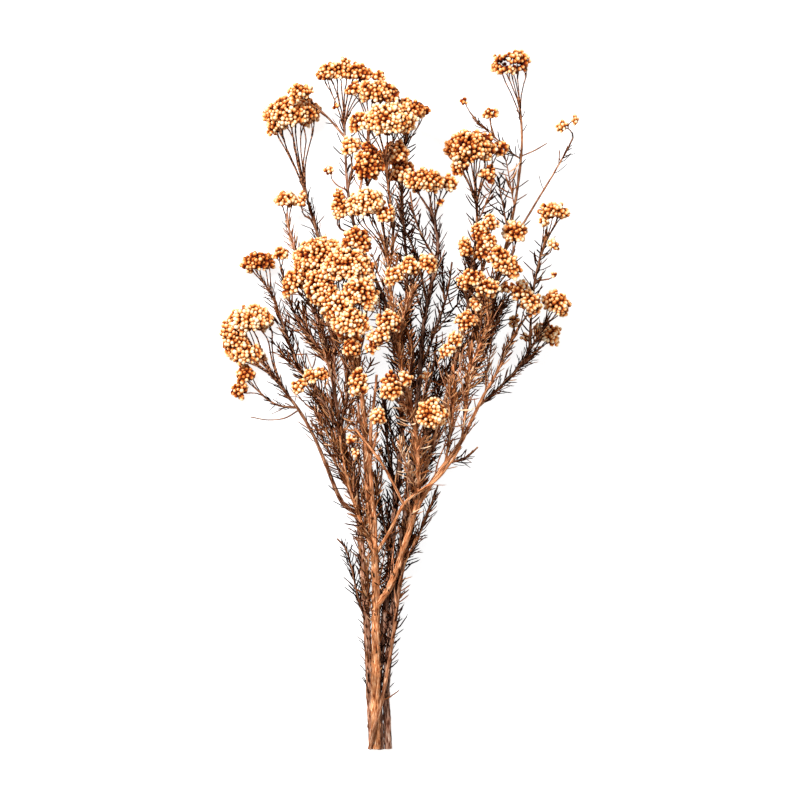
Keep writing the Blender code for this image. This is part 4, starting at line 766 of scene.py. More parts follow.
SHOOT_WANDER = 0.12  # mm by which a shoot strays at each step
SHOOT_STEPS = 7  # steps of STEP mm, the least that a side shoot has
SHOOT_CLEAR = (1.0, 1.5)  # mm kept between a side shoot and the heads, and above the surface
SHOOTS_LEAFY = 0.5  # how leafy a twig is that has side shoots
BARE_SHOOTS = 0.42  # share of the side shoots that have lost most of their needles
COMB_SHOOTS = 0.4  # share of the side shoots on which needles stand like the teeth of a comb
SHADE_LINE = 390  # line of the sheet below which side shoots are painted as in full light
SHADED = 0.12  # how much darker their needles are painted above it, as shade
SHADED_LIGHT = 0.95  # painted brightness of their bark there
SHOOT_LIGHT = (1.25, 1.45)  # painted brightness of the bark of leafy side shoots below it, and of bare ones
SHOOT_WARMTH = 0.7  # how warm the bark of side shoots is
SHOOT_YOUNG = (0.5, 0.2)  # how young it is, on leafy ones and on bare ones
SHOOT_APART = (1.15, 5.0)  # how far apart their needles are, times LEAF_EVERY
SHOOT_TONES = 0.12  # how much they differ in tint
DARK_TWIGS = ("right", "back", "d", "shoot_b", "shoot_c", "shoot_d", "shoot_k", "shoot_l", "shoot_m",
              "shoot_o")
INNER_TWIGS = ("front", "front_b", "front_c", "fork", "rise", "z", "y", "av", "ak", "au", "ar", "aw", "as",
               "at", "left", "ao", "ai", "cross", "cross_b")  # in the full light above the others: their bark and needles are painted paler
BARE_FORKS = ("o", "p")  # twigs with few needles of their own in the solids, here leafy
FORK_LEAVES = 0.7  # how leafy
NO_SHOOTS = 700  # a twig whose needles have dropped down to this line has no side shoots
THIN_NEEDLES = {"n": (0, 262, 0.15), "r": (166, NO_SHOOTS, 0.12), "a": (0, 205, 0.2), "back": (0, 290, 0.4),
                "a2": (0, NO_SHOOTS, 0.2), "c": (0, 260, 0.4), "e": (0, 150, 0.2), "s": (0, 225, 0.3),
                "cross": (0, NO_SHOOTS, 0.2), "cross_b": (0, NO_SHOOTS, 0.2), "front_b": (0, NO_SHOOTS, 0.2),
                "left_outer": (404, 530, 0.2), "fork": (395, 620, 0.2)}  # as ALL_LEFT, for these twigs
COMB_TWIGS = ("shoot_c", "shoot_d", "d", "shoot_e", "shoot_q", "shoot_l", "slender", "u", "v", "w", "s", "c",
              "back")
LEAFY_TO_HEAD = ("slender", "right", "d", "s", "u", "w", "rise", "e", "h", "ah", "ag")
DENSE_LOW = ("left", "back", "right")  # stems with many dark needles between the bare stems of the bundle
DENSE_NEEDLES = (1.0, (0, 565, 0.1), -0.05)  # mm between those, lines with few of them, tint
MORE_SHOOTS = (
    ("slender", 0.1, [(477, 224, 0.6), (484, 208, 44, 0.6), (489, 196, 45, 0.5), (492, 186, 45, 0.4)]),
    ("n", -0.05, [(509, 236, 0.6), (506, 222, 31, 0.6), (503, 205, 31, 0.6), (500, 190, 30, 0.5),
                  (498, 178, 29, 0.4)]),
    ("n", 0.3, [(514, 206, 0.5), (511, 188, 29, 0.5), (508, 170, 29, 0.45), (504, 152, 29, 0.4)]),
)  # leafy shoots beside the upper right heads: twig, tint, route on the sheet with height and radius
LEFT_EDGE = ((250, 290), (300, 284), (340, 272), (380, 280), (410, 304), (440, 326), (480, 345), (520, 358),
             (560, 360), (640, 364))  # where side shoots end on the left: line of the sheet, place
RIGHT_EDGE = ((250, 470), (290, 506), (330, 513), (370, 500), (400, 480), (440, 457), (480, 436), (520, 416),
              (560, 406), (640, 392))  # and on the right
STEM_WARMTH = {"stem_front": 1.0, "stem_left": 0.3, "stem_back": 0.0, "stem_right": 0.05,
               "stem_slender": 0.75}  # 1 for orange-brown bark, 0 for the greyer pink-brown
YOUNG = (0.9, 0.3)  # how young the bark of a side twig is, and of one in the full light
YOUNG_STEM = (520, 160, 1.0)  # on a stem: line of the sheet where old bark ends, over how many lines, most
YOUNG_FORK = (500, 120, 0.8)  # the same on the front stem's own forks
INNER_LIGHT = 1.3  # how much brighter the bark of twigs in the full light is painted
DARK_LIGHT = 0.85  # and how bright that of the dark ones is
AROUND = ((2, 12), (1, 8), (0, 6))  # radius in mm from which a twig's rings have so many points
MORE_MARKS = (0.5, 0.8, 1.0)  # warmth, youth and brightness of the bark of the shoots routed here


def dried_needle():
    """Dried leaf: dark and slightly leathery, with fine mottles."""
    made, tree, shader = new_material("dried_needle_leaf", 0.7, 0.04)
    place = node(tree, "ShaderNodeTexCoord").outputs["Object"]
    fine = node(tree, "ShaderNodeTexNoise", {"in:Scale": 900.0, "in:Detail": 2.0},
                {"Vector": place}).outputs["Fac"]
    # the 'warmth' mark holds each needle's tint here, painted paler higher up and on twigs in the full light
    warmth = node(tree, "ShaderNodeAttribute", {"attribute_name": "warmth"})
    light = node(tree, "ShaderNodeAttribute", {"attribute_name": "light"})
    both = node(tree, "ShaderNodeMath", {"operation": "MULTIPLY_ADD", "in:1": 0.3},
                {0: fine, 2: warmth.outputs["Fac"]})
    colour = node(tree, "ShaderNodeValToRGB", {"stops": (
        (0.12, "#170501"), (0.32, "#4b200b"), (0.55, "#93562e"), (0.75, "#cf9565"), (0.95, "#fbd6b0"))},
        {0: both.outputs[0]})
    # painted shade: the 'light' mark darkens needles lower in the bunch
    shaded = node(tree, "ShaderNodeMix", MULTIPLY, {6: colour.outputs[0], 7: light.outputs["Fac"]})
    relief = node(tree, "ShaderNodeBump", {"in:Strength": 0.4, "in:Distance": 0.0002}, {"Height": fine})
    tree.links.new(shaded.outputs[2], shader.inputs["Base Color"])
    tree.links.new(relief.outputs[0], shader.inputs["Normal"])
    return made


def leaf_form():
    """One needle of length 1 along x: three-sided, widest a third of the way up, drawn in to its tip."""
    ring = [(math.cos(a), 0.8 * math.sin(a)) for a in (math.pi / 2, math.pi * 7 / 6, math.pi * 11 / 6)]
    points = [(x, w * a, w * b) for x, w in ((0.0, 0.6), (0.35, 1.0), (0.8, 0.85)) for a, b in ring]
    points.append((1, 0, 0))
    faces = [(2, 1, 0)]
    for i in (0, 3):
        for k in range(3):
            after = (k + 1) % 3
            faces += [(i + k, i + after, i + 3 + after), (i + k, i + 3 + after, i + 3 + k)]
    faces += [(6, 7, 9), (7, 8, 9), (8, 6, 9)]
    return np.array(points), np.array(faces)


LEAF, LEAF_FACES = leaf_form()


def repeated(faces, count, points):
    """The faces of one form for each of its copies, which have so many points each."""
    return (faces[None] + (np.arange(count) * points)[:, None, None]).reshape(-1, 3)


def lit(height, light):
    """Painted light and shade: how bright bark or needles are painted at a height above the surface, darker
    low in the bunch.
    """
    return np.clip(light[0] + light[1] * height / light[2], light[0], BRIGHTEST)


def touches(points, lobes, margin):
    """Which of the points lie in a head."""
    inside = np.zeros(len(points), bool)
    for lobe in lobes:
        near = np.abs(points - lobe[0]).max(axis=1) < lobe[2].max() + 3
        if near.any():
            inside[near] |= pushed_off(points[near], np.zeros(near.sum()), lobe, margin) != 0
    return inside


def add_needles(gathered, line, every, lobes, rng, thin, tone, bare, fall=TWIG_FALL, style=PLAIN):
    """Needles along one twig, each with its own length, lean, curve and tint."""
    apart, leans, longer, bends, wider = style
    length = STEP * (len(line) - 1) - bare
    count = int((length - FIRST_LEAF) / (every * apart))
    if count < 2:
        return
    place = (np.arange(count) + rng.uniform(0, 1, count)) / count * (length - FIRST_LEAF) + FIRST_LEAF
    low = np.interp(place / STEP, np.arange(len(line)), sheet_y(line))
    chance = np.clip((fall[0] - low) / fall[1], 0, 1) * (1 - FEWEST) + FEWEST
    chance = np.where((low > thin[0]) & (low < thin[1]), thin[2], chance)
    place = place[(rng.uniform(0, 1, count) < chance) & (low < LAST_LINE)]
    count = len(place)
    if not count:
        return
    at = np.stack([np.interp(place / STEP, np.arange(len(line)), line[:, k]) for k in range(4)], axis=1)
    ways, sides, ups = frames_along(line)
    index = np.clip((place / STEP).astype(int), 0, len(line) - 1)
    turn = np.arange(count) * LEAF_TURN + rng.uniform(-LEAF_JITTER, LEAF_JITTER, count)
    out = np.cos(turn)[:, None] * sides[index] + np.sin(turn)[:, None] * ups[index]
    lean = np.radians(rng.uniform(*leans, count))
    aim = np.cos(lean)[:, None] * ways[index] + np.sin(lean)[:, None] * out
    across = np.cross(ways[index], out)
    back = np.cross(aim, across)
    long = longer * rng.uniform(*LEAF_LONG, count)
    long = long * np.clip(SHORT_TIP[0] + SHORT_TIP[1] * (length - place) / SHORT_TIP[2], 0.5, 1)
    bend = rng.uniform(*bends, count)
    x, y, z = LEAF.T
    wide = LEAF_WIDE * wider * rng.uniform(*LEAF_WIDTHS, count)
    curl = ((x ** 2)[None] * (bend * long)[:, None])[..., None] * (ways[index] - out)[:, None] * LEAF_CURL
    points = (at[:, None, :3] + (x[None] * long[:, None])[..., None] * aim[:, None]
              + (y[None] * wide[:, None])[..., None] * across[:, None]
              + (z[None] * wide[:, None])[..., None] * back[:, None] + curl)
    good = points[:, :, 2].min(axis=1) > 0.05
    for t in LEAF_CLEAR:
        good &= ~touches(at[:, :3] + aim * (long * t)[:, None], lobes, 0.0)
    points, count = points[good], int(good.sum())
    if not count:
        return
    high = (points[:, 0, 2] - HIGH_TONE[0]) / HIGH_TONE[1]
    spread = DARK_TONE[1] if tone < 0.1 else TONE_SPREAD
    tint = np.clip(rng.normal(tone, spread, count) + HIGH_TONE[2] * high, 0.0, PALEST)
    depth = lit(points[:, :, 2], NEEDLE_LIGHT)
    marks = np.stack([np.repeat(tint, len(LEAF)), np.tile(x, count), depth.ravel()], axis=1)
    gathered.add(points.reshape(-1, 3), repeated(LEAF_FACES, count, len(LEAF)), NEEDLES, marks)


def side_shoots(line, share, lobes, rng):
    """Lines of short leafy shoots that grow from a twig, where there is room for them."""
    found = []
    ways, sides, ups = frames_along(line)
    place = SHOOT_FROM + rng.uniform(0, SHOOT_EVERY)
    turn = rng.uniform(0, 6)
    while place < STEP * (len(line) - 1) - SHOOT_TO:
        i = int(place / STEP)
        place += SHOOT_EVERY / share * rng.uniform(0.7, 1.3)
        turn += LEAF_TURN + rng.uniform(-0.5, 0.5)
        if not LEFT_EDGE[0][0] < sheet_y(line[i]) < LEFT_EDGE[-1][0]:
            continue
        long = rng.uniform(*SHOOT_LONG)
        lean = math.radians(rng.uniform(*SHOOT_LEAN))
        out = unit(math.cos(turn) * sides[i] + math.sin(turn) * ups[i] * 0.6)
        t = np.arange(0, long, STEP)[:, None]
        angle = lean * (1 - 0.5 * t / long)
        steps = STEP * (np.cos(angle) * ways[i] + np.sin(angle) * out)
        steps += rng.normal(0, SHOOT_WANDER, steps.shape)
        shoot = line[i, :3] + np.cumsum(steps, axis=0)
        x, y = ORIGIN[0] + shoot[:, 0] / SQUARE, sheet_y(shoot)
        clear = ~touches(shoot, lobes, SHOOT_CLEAR[0]) & (shoot[:, 2] > SHOOT_CLEAR[1])
        clear &= (x > np.interp(y, *zip(*LEFT_EDGE))) & (x < np.interp(y, *zip(*RIGHT_EDGE)))
        clear &= y > LEFT_EDGE[0][0]
        kept = int(np.argmin(clear)) if not clear.all() else len(clear)
        if kept > SHOOT_STEPS:
            shoot = np.vstack([line[i, :3], shoot[:kept]])
            found.append(np.column_stack([shoot, SHOOT_THICK * np.linspace(1, 0.5, len(shoot))]))
    return found


def add_side_shoots(gathered, line, share, tone, lobes, rng):
    """Leafy side shoots along a twig. Some have lost most of their needles and show their pale bark. Below
    SHADE_LINE their bark is painted lighter, most on the bare ones, and above it their needles are painted
    darker.
    """
    for shoot in side_shoots(line, share, lobes, rng):
        lost = int(rng.uniform() < BARE_SHOOTS)
        low_down = sheet_y(shoot[0]) > SHADE_LINE
        shade = rng.normal(tone, SHOOT_TONES) - (0.0 if low_down else SHADED)
        light = SHOOT_LIGHT[lost] if low_down else SHADED_LIGHT
        bark_tube(gathered, shoot, 4, (SHOOT_WARMTH, SHOOT_YOUNG[lost], light), rng, 0.5)
        every = LEAF_EVERY * SHOOT_APART[lost]
        style = COMB if rng.uniform() < COMB_SHOOTS else PLAIN
        add_needles(gathered, shoot, every, lobes, rng, ALL_LEFT, shade, 0.0, style=style)


def add_bark(gathered, name, twig, rng):
    """A twig's own wood, of one age and one painted brightness all along, lighter higher up and on twigs in
    the full light, darker on the dark ones: stems are older than their side twigs.
    """
    fine = resampled(twig["line"], RING)
    young = YOUNG[name in INNER_TWIGS]
    ages = {"": YOUNG_STEM, "front": YOUNG_FORK}.get(twig["parent"])
    if ages:
        young = np.clip((ages[0] - sheet_y(fine)) / ages[1], 0, ages[2]).mean()
    around = next(sides for radius, sides in AROUND if fine[0, 3] > radius)
    light = lit(fine[:, 2], BARK_LIGHT).mean()
    if name in INNER_TWIGS:
        light *= INNER_LIGHT
    elif name in DARK_TWIGS and name != "back":
        light *= DARK_LIGHT
    bark_tube(gathered, fine, around, (STEM_WARMTH[twig["node"]], young, light), rng, 1.0)


def add_leaves(gathered, name, twig, lobes, rng):
    """A twig's needles and its side shoots."""
    line = twig["line"]
    tone = DARK_TONE[0] if name in DARK_TWIGS else TONES[name in INNER_TWIGS]
    style = COMB if name in COMB_TWIGS else PLAIN
    leafy = FORK_LEAVES if name in BARE_FORKS else twig["leafy"]
    thin = THIN_NEEDLES.get(name, ALL_LEFT)
    bare = LEAFY_TIP if name in LEAFY_TO_HEAD else BARE_TIP
    if leafy:
        every = LEAF_EVERY / min(1.0, leafy + 0.2)
        fall = BACK_FALL if name == "back" else TWIG_FALL
        add_needles(gathered, line, every, lobes, rng, thin, tone, bare, fall, style)
    if name in DENSE_LOW:
        every, few, dark = DENSE_NEEDLES
        add_needles(gathered, line, every, lobes, rng, few, dark, bare, LOW_FALL)
    if twig["leafy"] >= SHOOTS_LEAFY and thin[1] != NO_SHOOTS and name != "left_outer":
        share = twig["leafy"] * (0.5 if name in DARK_TWIGS or name in COMB_TWIGS else 1.0)
        add_side_shoots(gathered, line, share, tone, lobes, rng)


bark_look, leaf_look = dried_bark(), dried_needle()
all_lobes = [lobe for head in heads.values() for lobe in head["lobes"]]
for stem_name in sorted(TWIGS):
    gathered = Gathered(STEM_MARKS)
    for name, twig in twigs.items():
        if twig["node"] == stem_name:
            rng = own_draw(name, 7)
            add_bark(gathered, name, twig, rng)
            add_leaves(gathered, name, twig, all_lobes, rng)
    for held, shade, route in MORE_SHOOTS:
        if twigs[held]["node"] == stem_name:
            _, shoot = twig_from(route, twigs[held]["line"])
            bark_tube(gathered, shoot, 5, MORE_MARKS, rng, 0.7)
            add_needles(gathered, shoot, LEAF_EVERY * 1.1, all_lobes, rng, ALL_LEFT, shade, 0.0, style=COMB)
    shown(stem_name + "_dried", gathered.mesh(stem_name + "_dried", (bark_look, leaf_look, cut_wood)),
          stem_name)


# The flower heads. Each is a dome of round, closed florets about 3 mm across on thin stalks that fork up
# from the twig's end. The florets are papery bracts dyed orange: cream at the top, deeper at the sides and
# red-brown where they meet; the red-brown is painted shade, and the cream tops are partly painted highlight.
# They sit in small tufts, one to each last fork, so the dome is lumpy.
FLORET = 3.3  # mm across
FLORET_LONG = 1.15  # its length over its width
FLORET_SIZES = (0.76, 1.14)  # times that size, drawn for each floret
FLORET_LEAN = 0.3  # how far florets lean out of their way
FLORET_GAP = 2.3  # mm between the middles of florets side by side
UNDER_GAP = 1.12  # times that gap, for the florets below the outer ones
UNDER = 2.0  # mm from the outer florets down to those
UNDER_FROM = 4  # mm, half the size from which a lobe has them
SMALL_LOBE = (0.8, 30)  # size of florets on the smallest lobes over full ones, and mm of half size for 1 more
TRIES = (6, 40)  # places tried on a lobe, for each floret's worth of its face, and more
GROWN = 1.4  # mm by which florets stand out of a lobe's outline
TUFT = 7.4  # mm between the middles of the tufts
TUFT_ROUND = 0.16  # how steeply a tuft falls off at its rim, mm for each mm squared
TUFT_FALL = 2.6  # mm, the most that it does
TUFT_FULL = 7  # mm, half the size from which a lobe's tufts do so in full
TUFT_STEP = (-0.9, 0.8)  # mm by which a tuft at the side stands further in or out
TUFT_SHADE = 0.22  # how much tufts differ in tint
RAGGED = 0.35  # mm by which a floret stands further in at most
COVERED = 1.0  # mm below another lobe's face from which a floret is left out
FLORET_LOW = 0.9  # mm, the least height of a floret's middle
STRAY = (0.06, (0.5, 1.3))  # share of the florets at the sides that stand out, and by how many mm
TINT = (0.33, 0.42, 0.55)  # how much florets differ in tint; painted shade: how much redder they are for each mm deeper in a tuft, and for each mm below the outer florets
TINTS = (-2.0, 1.2)  # redder or paler than this they don't get
CROWN = 1.24  # a head's upper half stands this much further out than an even one
BELLY = 0.76  # and its lower half this much less far
THINNEST = 0.4  # share of a lobe's size that is left at least, however far below its face
FACE_POWER = 1.6  # power in the usual formula for the face of an ellipsoid
OPEN_BELOW = -0.88  # share of a lobe's height below which only stalks are seen
CORE_POINTS = 60  # points of the dark inside of a lobe, painted shade
CORE_DEEP = (4.6, 0.6)  # mm from a lobe's face down to it, and the most of the lobe's half size
LOWEST_STALK = 0.05  # mm above the surface
RAY = 0.42  # mm, radius of the last stalks
RAY_GAIN = 0.12  # how much thicker a stalk is for each more tuft that it carries, up to 5
RAY_POINTS = 7  # points along a stalk
RAY_WANDER = 0.12  # mm by which each of them strays
FORK_WANDER = 0.03  # share of the way by which a fork strays
FIRST_FORK = 0.68  # share of the way to its tufts at which a stalk forks first
NEXT_FORK = 0.5  # and at which its forks do
RAY_END = (3.0, 0.5)  # mm that a stalk ends below its tuft, and the most of the lobe's half size
BROOM = 26.0  # mm of twig below a head along which its stalks branch off
BROOM_SHARE = 0.3  # and the most of the twig
BROOM_TUFTS = 2.4  # tufts for each stalk that branches off
BROOM_STALKS = 9  # the most of those
OPEN_HEADS = {15: 0.1}  # share of the tufts that a thin head has lost, so that one sees between them
# heads whose sides stand out by so many mm more, and each head's tint: paler over 0, redder under it
FULL_HEADS = {4: 1.0, 6: 1.2, 8: 1.5, 9: 1.8, 18: 1.0, 23: 1.8, 25: 1.2, 26: 1.8, 27: 1.8, 29: 1.8,
              30: 1.2, 31: 1.8, 36: 1.8, 37: 1.8, 38: 2.4, 39: 2.4, 40: 2.0, 43: 1.8, 44: 1.8, 45: 1.2}
HEAD_TONE = {3: -0.35, 4: -0.05, 5: -0.6, 6: 0.3, 7: 0.3, 8: -0.5, 9: -0.15, 10: -0.15, 11: -0.5,
             12: 0.15, 18: -0.3, 20: 0.1, 22: -0.1, 23: -0.1, 27: 0.1, 28: 0.2, 29: 0.1, 30: 0.1,
             31: 0.35, 32: 0.4, 33: 0.4, 34: -0.75, 35: -0.45, 36: -0.05, 37: -0.5, 38: 0.2, 39: 0.3,
             40: 0.35, 41: -0.6, 42: -0.05, 43: 0.2, 44: -0.2, 45: -0.1, 48: 0.1, 50: 0.5}
FLORETS, STALKS, INSIDE = 0, 1, 2  # the places of a head's materials


def papery_floret():
    """Dyed papery bracts: matt, cream at the tip, orange below it and red-brown at the base. The red-brown
    base is painted shade where florets meet, and the cream tip is partly painted highlight.
    """
    made, tree, shader = new_material("dyed_papery_floret", 0.7, 0.04)
    shader.inputs["Sheen Weight"].default_value = 0.03
    place = node(tree, "ShaderNodeTexCoord").outputs["Object"]
    bracts = node(tree, "ShaderNodeTexNoise", {"in:Scale": 1000.0, "in:Detail": 2.0},
                  {"Vector": place}).outputs["Fac"]
    height = node(tree, "ShaderNodeAttribute", {"attribute_name": "height"})
    tint = node(tree, "ShaderNodeAttribute", {"attribute_name": "tint"})
    rough = node(tree, "ShaderNodeMath", {"operation": "MULTIPLY_ADD", "in:1": 0.3, "in:2": -0.15},
                 {0: bracts})
    lift = node(tree, "ShaderNodeMath", {"operation": "MULTIPLY_ADD", "in:1": 0.24},
                {0: tint.outputs["Fac"], 2: rough.outputs[0]})
    level = node(tree, "ShaderNodeMath", {"operation": "ADD"},
                 {0: height.outputs["Fac"], 1: lift.outputs[0]})
    colour = node(tree, "ShaderNodeValToRGB", {"stops": (
        (0.08, "#561403"), (0.31, "#9b4311"), (0.47, "#d67f38"), (0.62, "#f0b06f"), (0.78, "#fbd6a6"),
        (1.0, "#feebca"))}, {0: level.outputs[0]})
    relief = node(tree, "ShaderNodeBump", {"in:Strength": 0.6, "in:Distance": 0.0003}, {"Height": bracts})
    tree.links.new(colour.outputs[0], shader.inputs["Base Color"])
    tree.links.new(relief.outputs[0], shader.inputs["Normal"])
    return made


def floret_form(rings, around):
    """One closed floret of radius 1 about its own middle, along y: egg-shaped, with shallow bracts."""
    points = [(0, -FLORET_LONG, 0)]
    for i in range(1, rings):
        lean = math.pi * i / rings
        for k in range(around):
            turn = 2 * math.pi * (k + 0.5 * (i % 2)) / around
            wide = math.sin(lean) * (1 + 0.05 * math.cos(3 * turn + i)) * 1.04
            points.append((wide * math.cos(turn), -FLORET_LONG * math.cos(lean), wide * math.sin(turn)))
    points.append((0, FLORET_LONG * 1.05, 0))
    last = len(points) - 1
    faces = []
    for k in range(around):
        after = (k + 1) % around
        faces.append((0, 1 + k, 1 + after))
        faces.append((last, last - around + after, last - around + k))
        for i in range(rings - 2):
            low = 1 + i * around
            faces.append((low + k, low + around + k, low + around + after))
            faces.append((low + k, low + around + after, low + after))
    return np.array(points), np.array(faces)


# the outer florets and those below them: how far below, form, gap
LAYERS = ((0.0, floret_form(4, 7), FLORET_GAP), (UNDER, floret_form(3, 5), FLORET_GAP * UNDER_GAP))


def on_lobe(lobe, direction, inset):
    """The point of a lobe in each direction, below its face by the inset. Its underside is flatter."""
    middle, axes, half = lobe
    direction = np.atleast_2d(direction)
    inset = np.atleast_1d(inset)[:, None]
    half = np.maximum(half[None] - inset, THINNEST * half[None])
    rise = np.where(direction[:, 1] > 0, CROWN, BELLY)
    local = direction * half
    local[:, 1] = local[:, 1] * rise - (CROWN - 1) * half[:, 1]
    return middle + local @ axes


def lobe_face(half):
    """About how large the face of a lobe is, in mm2."""
    a, b, c = half ** FACE_POWER
    return 4 * math.pi * ((a * b + a * c + b * c) / 3) ** (1 / FACE_POWER)


def packed(points, gap):
    """The numbers of the points to keep, first come first, so that no two are closer than the gap."""
    cells, kept = {}, []
    for number, (x, y, z) in enumerate(points.tolist()):
        i, j, k = int(x // gap), int(y // gap), int(z // gap)
        close = False
        for cell in ((i + a, j + b, k + c) for a in (-1, 0, 1) for b in (-1, 0, 1) for c in (-1, 0, 1)):
            for p, q, r in cells.get(cell, ()):
                if (x - p) ** 2 + (y - q) ** 2 + (z - r) ** 2 < gap * gap:
                    close = True
        if not close:
            cells.setdefault((i, j, k), []).append((x, y, z))
            kept.append(number)
    return np.array(kept, int)


def covered(points, lobe, others, margin):
    """Which of the points lie inside another lobe of the same head."""
    inside = np.zeros(len(points), bool)
    for other in others:
        if other is not lobe:
            local = (points - other[0]) @ other[1].T / np.maximum(other[2] - margin, 0.3 * other[2])
            inside |= (local ** 2).sum(axis=1) < 1
    return inside


def add_florets(gathered, lobe, others, tone, lost, full, rng):
    """Two layers of florets over a lobe, in rounded tufts. Gives where the tufts' stalks end."""
    middle, axes, half = lobe
    small = min(1.0, SMALL_LOBE[0] + half.min() / SMALL_LOBE[1])
    count = int(TRIES[0] * lobe_face(half) / FLORET_GAP ** 2) + TRIES[1]
    ways = units(rng.normal(0, 1, (count, 3)))
    ways = ways[ways[:, 1] > OPEN_BELOW]
    beside = 1 - np.abs(ways[:, 1] * axes[1][2] + ways[:, 2] * axes[2][2] + ways[:, 0] * axes[0][2])
    inset = 0.5 * FLORET * small - GROWN - full * beside
    face = on_lobe(lobe, ways, inset)
    tops = face[packed(face, TUFT)]
    shades = rng.normal(0, TUFT_SHADE, len(tops))
    far = np.linalg.norm(face[:, None] - tops[None], axis=2)
    nearest, far = far.argmin(axis=1), far.min(axis=1)
    fall = np.minimum(TUFT_ROUND * far ** 2, TUFT_FALL) * min(1.0, half.min() / TUFT_FULL)
    fall = fall + rng.uniform(0, RAGGED, len(ways))
    fall += beside * rng.uniform(*TUFT_STEP, len(tops))[nearest]
    fall -= beside * (rng.uniform(0, 1, len(ways)) < STRAY[0]) * rng.uniform(*STRAY[1], len(ways))
    gone = rng.uniform(0, 1, len(tops)) < lost
    for under, (form, faces), gap in LAYERS:
        if under and (half.min() < UNDER_FROM or lost):
            continue
        places = on_lobe(lobe, ways, inset + fall + under)
        clear = ~covered(places, lobe, others, COVERED + under) & ~gone[nearest]
        clear &= places[:, 2] > FLORET_LOW
        places, near, deep = places[clear], nearest[clear], fall[clear]
        kept = packed(places, gap * small)
        if not len(kept):
            continue
        places, near, deep = places[kept], near[kept], deep[kept]
        aims = units(places - (middle - axes[1] * 0.45 * half[1]))
        aims = units(aims + rng.normal(0, FLORET_LEAN, aims.shape))
        side = units(np.cross(aims, rng.normal(0, 1, aims.shape)))
        other = np.cross(side, aims)
        size = FLORET / 2 * small * rng.uniform(*FLORET_SIZES, len(places))
        x, y, z = form.T[:, None, :, None]
        turned = x * side[:, None] + y * aims[:, None] + z * other[:, None]
        points = places[:, None] + size[:, None, None] * turned
        points[:, :, 2] = np.maximum(points[:, :, 2], ABOVE)
        height = np.tile((form[:, 1] / FLORET_LONG + 1) / 2, len(places))
        # painted shade: florets deeper in a tuft and those in the layer below are tinted redder
        tint = rng.normal(tone, TINT[0], len(places)) + shades[near] - TINT[1] * deep - TINT[2] * under
        tint = np.repeat(np.clip(tint, *TINTS), len(form))
        gathered.add(points.reshape(-1, 3), repeated(faces, len(places), len(form)), FLORETS,
                     np.stack([height, tint], axis=1))
    below = (tops - middle) / np.linalg.norm(tops - middle, axis=1)[:, None]
    ends = tops - below * min(RAY_END[0], RAY_END[1] * half.min())
    return ends[~gone] if (~gone).any() else ends


def small_tube(gathered, line, around=5):
    """A thin stalk, closed at both ends."""
    _, points, faces = tube(line, line[:, 3][:, None], around, LOWEST_STALK)
    gathered.add(points, faces, STALKS)
    gathered.add(points[:around], [list(range(around))[::-1]], STALKS)
    gathered.add(points[-around:], [list(range(around))], STALKS)


def add_stalks(gathered, start, way, tufts, rng, share):
    """Stalks that fork from one point until each ends in a tuft."""
    thick = RAY * (1 + RAY_GAIN * min(len(tufts) - 1, 5))
    goal = tufts.mean(axis=0)
    reach = np.linalg.norm(goal - start)
    alone = len(tufts) == 1
    end = goal if alone else start + (goal - start) * share + rng.normal(0, FORK_WANDER * reach, 3)
    bend = start + way * 0.5 * np.linalg.norm(end - start)
    t = np.linspace(0, 1, RAY_POINTS)[:, None]
    line = (1 - t) ** 2 * start + 2 * t * (1 - t) * bend + t ** 2 * end
    line[1:-1] += rng.normal(0, RAY_WANDER, line[1:-1].shape)
    small_tube(gathered, np.column_stack([line, thick * np.linspace(1.1, 0.9, RAY_POINTS)]))
    if alone:
        return
    onward = end - bend
    onward /= np.linalg.norm(onward) + 1e-9
    spread = tufts - goal
    _, _, axes = np.linalg.svd(spread, full_matrices=False)
    order = np.argsort(spread @ axes[0])
    for part in np.array_split(tufts[order], 2):
        aim = part.mean(axis=0) - end
        aim = 0.6 * onward + 0.4 * aim / (np.linalg.norm(aim) + 1e-9)
        add_stalks(gathered, end, unit(aim), part, rng, NEXT_FORK)


def add_broom(gathered, line, tufts, rng):
    """Stalks that branch off along the end of a twig, nearly side by side, and fork below the florets."""
    count = max(1, min(BROOM_STALKS, int(round(len(tufts) / BROOM_TUFTS))))
    way = unit(line[-1, :3] - line[max(0, len(line) - 4), :3])
    order = np.argsort((tufts - line[-1, :3]) @ np.cross(way, (0, 0, 1)))
    parts = [part for part in np.array_split(tufts[order], count) if len(part)]
    room = min(BROOM, BROOM_SHARE * STEP * len(line))
    for k, part in enumerate(parts):
        back = 0.2 if k == len(parts) // 2 else rng.uniform(0.5, 1.0) * room * min(1.0, len(parts) / 5)
        i = max(1, len(line) - 1 - int(back / STEP))
        ahead = unit(line[min(i + 1, len(line) - 1), :3] - line[i - 1, :3])
        aim = part.mean(axis=0) - line[i, :3]
        aim = 0.75 * ahead + 0.25 * aim / np.linalg.norm(aim)
        add_stalks(gathered, line[i, :3], unit(aim), part, rng, FIRST_FORK)


def core_form():
    """A ball of radius 1 with evenly spread points."""
    shape = bmesh.new()
    for k in range(CORE_POINTS):
        high = 1 - (2 * k + 1) / CORE_POINTS
        turn = k * math.pi * (3 - math.sqrt(5))
        wide = math.sqrt(1 - high * high)
        shape.verts.new((wide * math.cos(turn), high, wide * math.sin(turn)))
    bmesh.ops.convex_hull(shape, input=list(shape.verts))
    shape.verts.index_update()
    ball = np.array([v.co[:] for v in shape.verts])
    skin = [[v.index for v in face.verts] for face in shape.faces]
    shape.free()
    return ball, skin


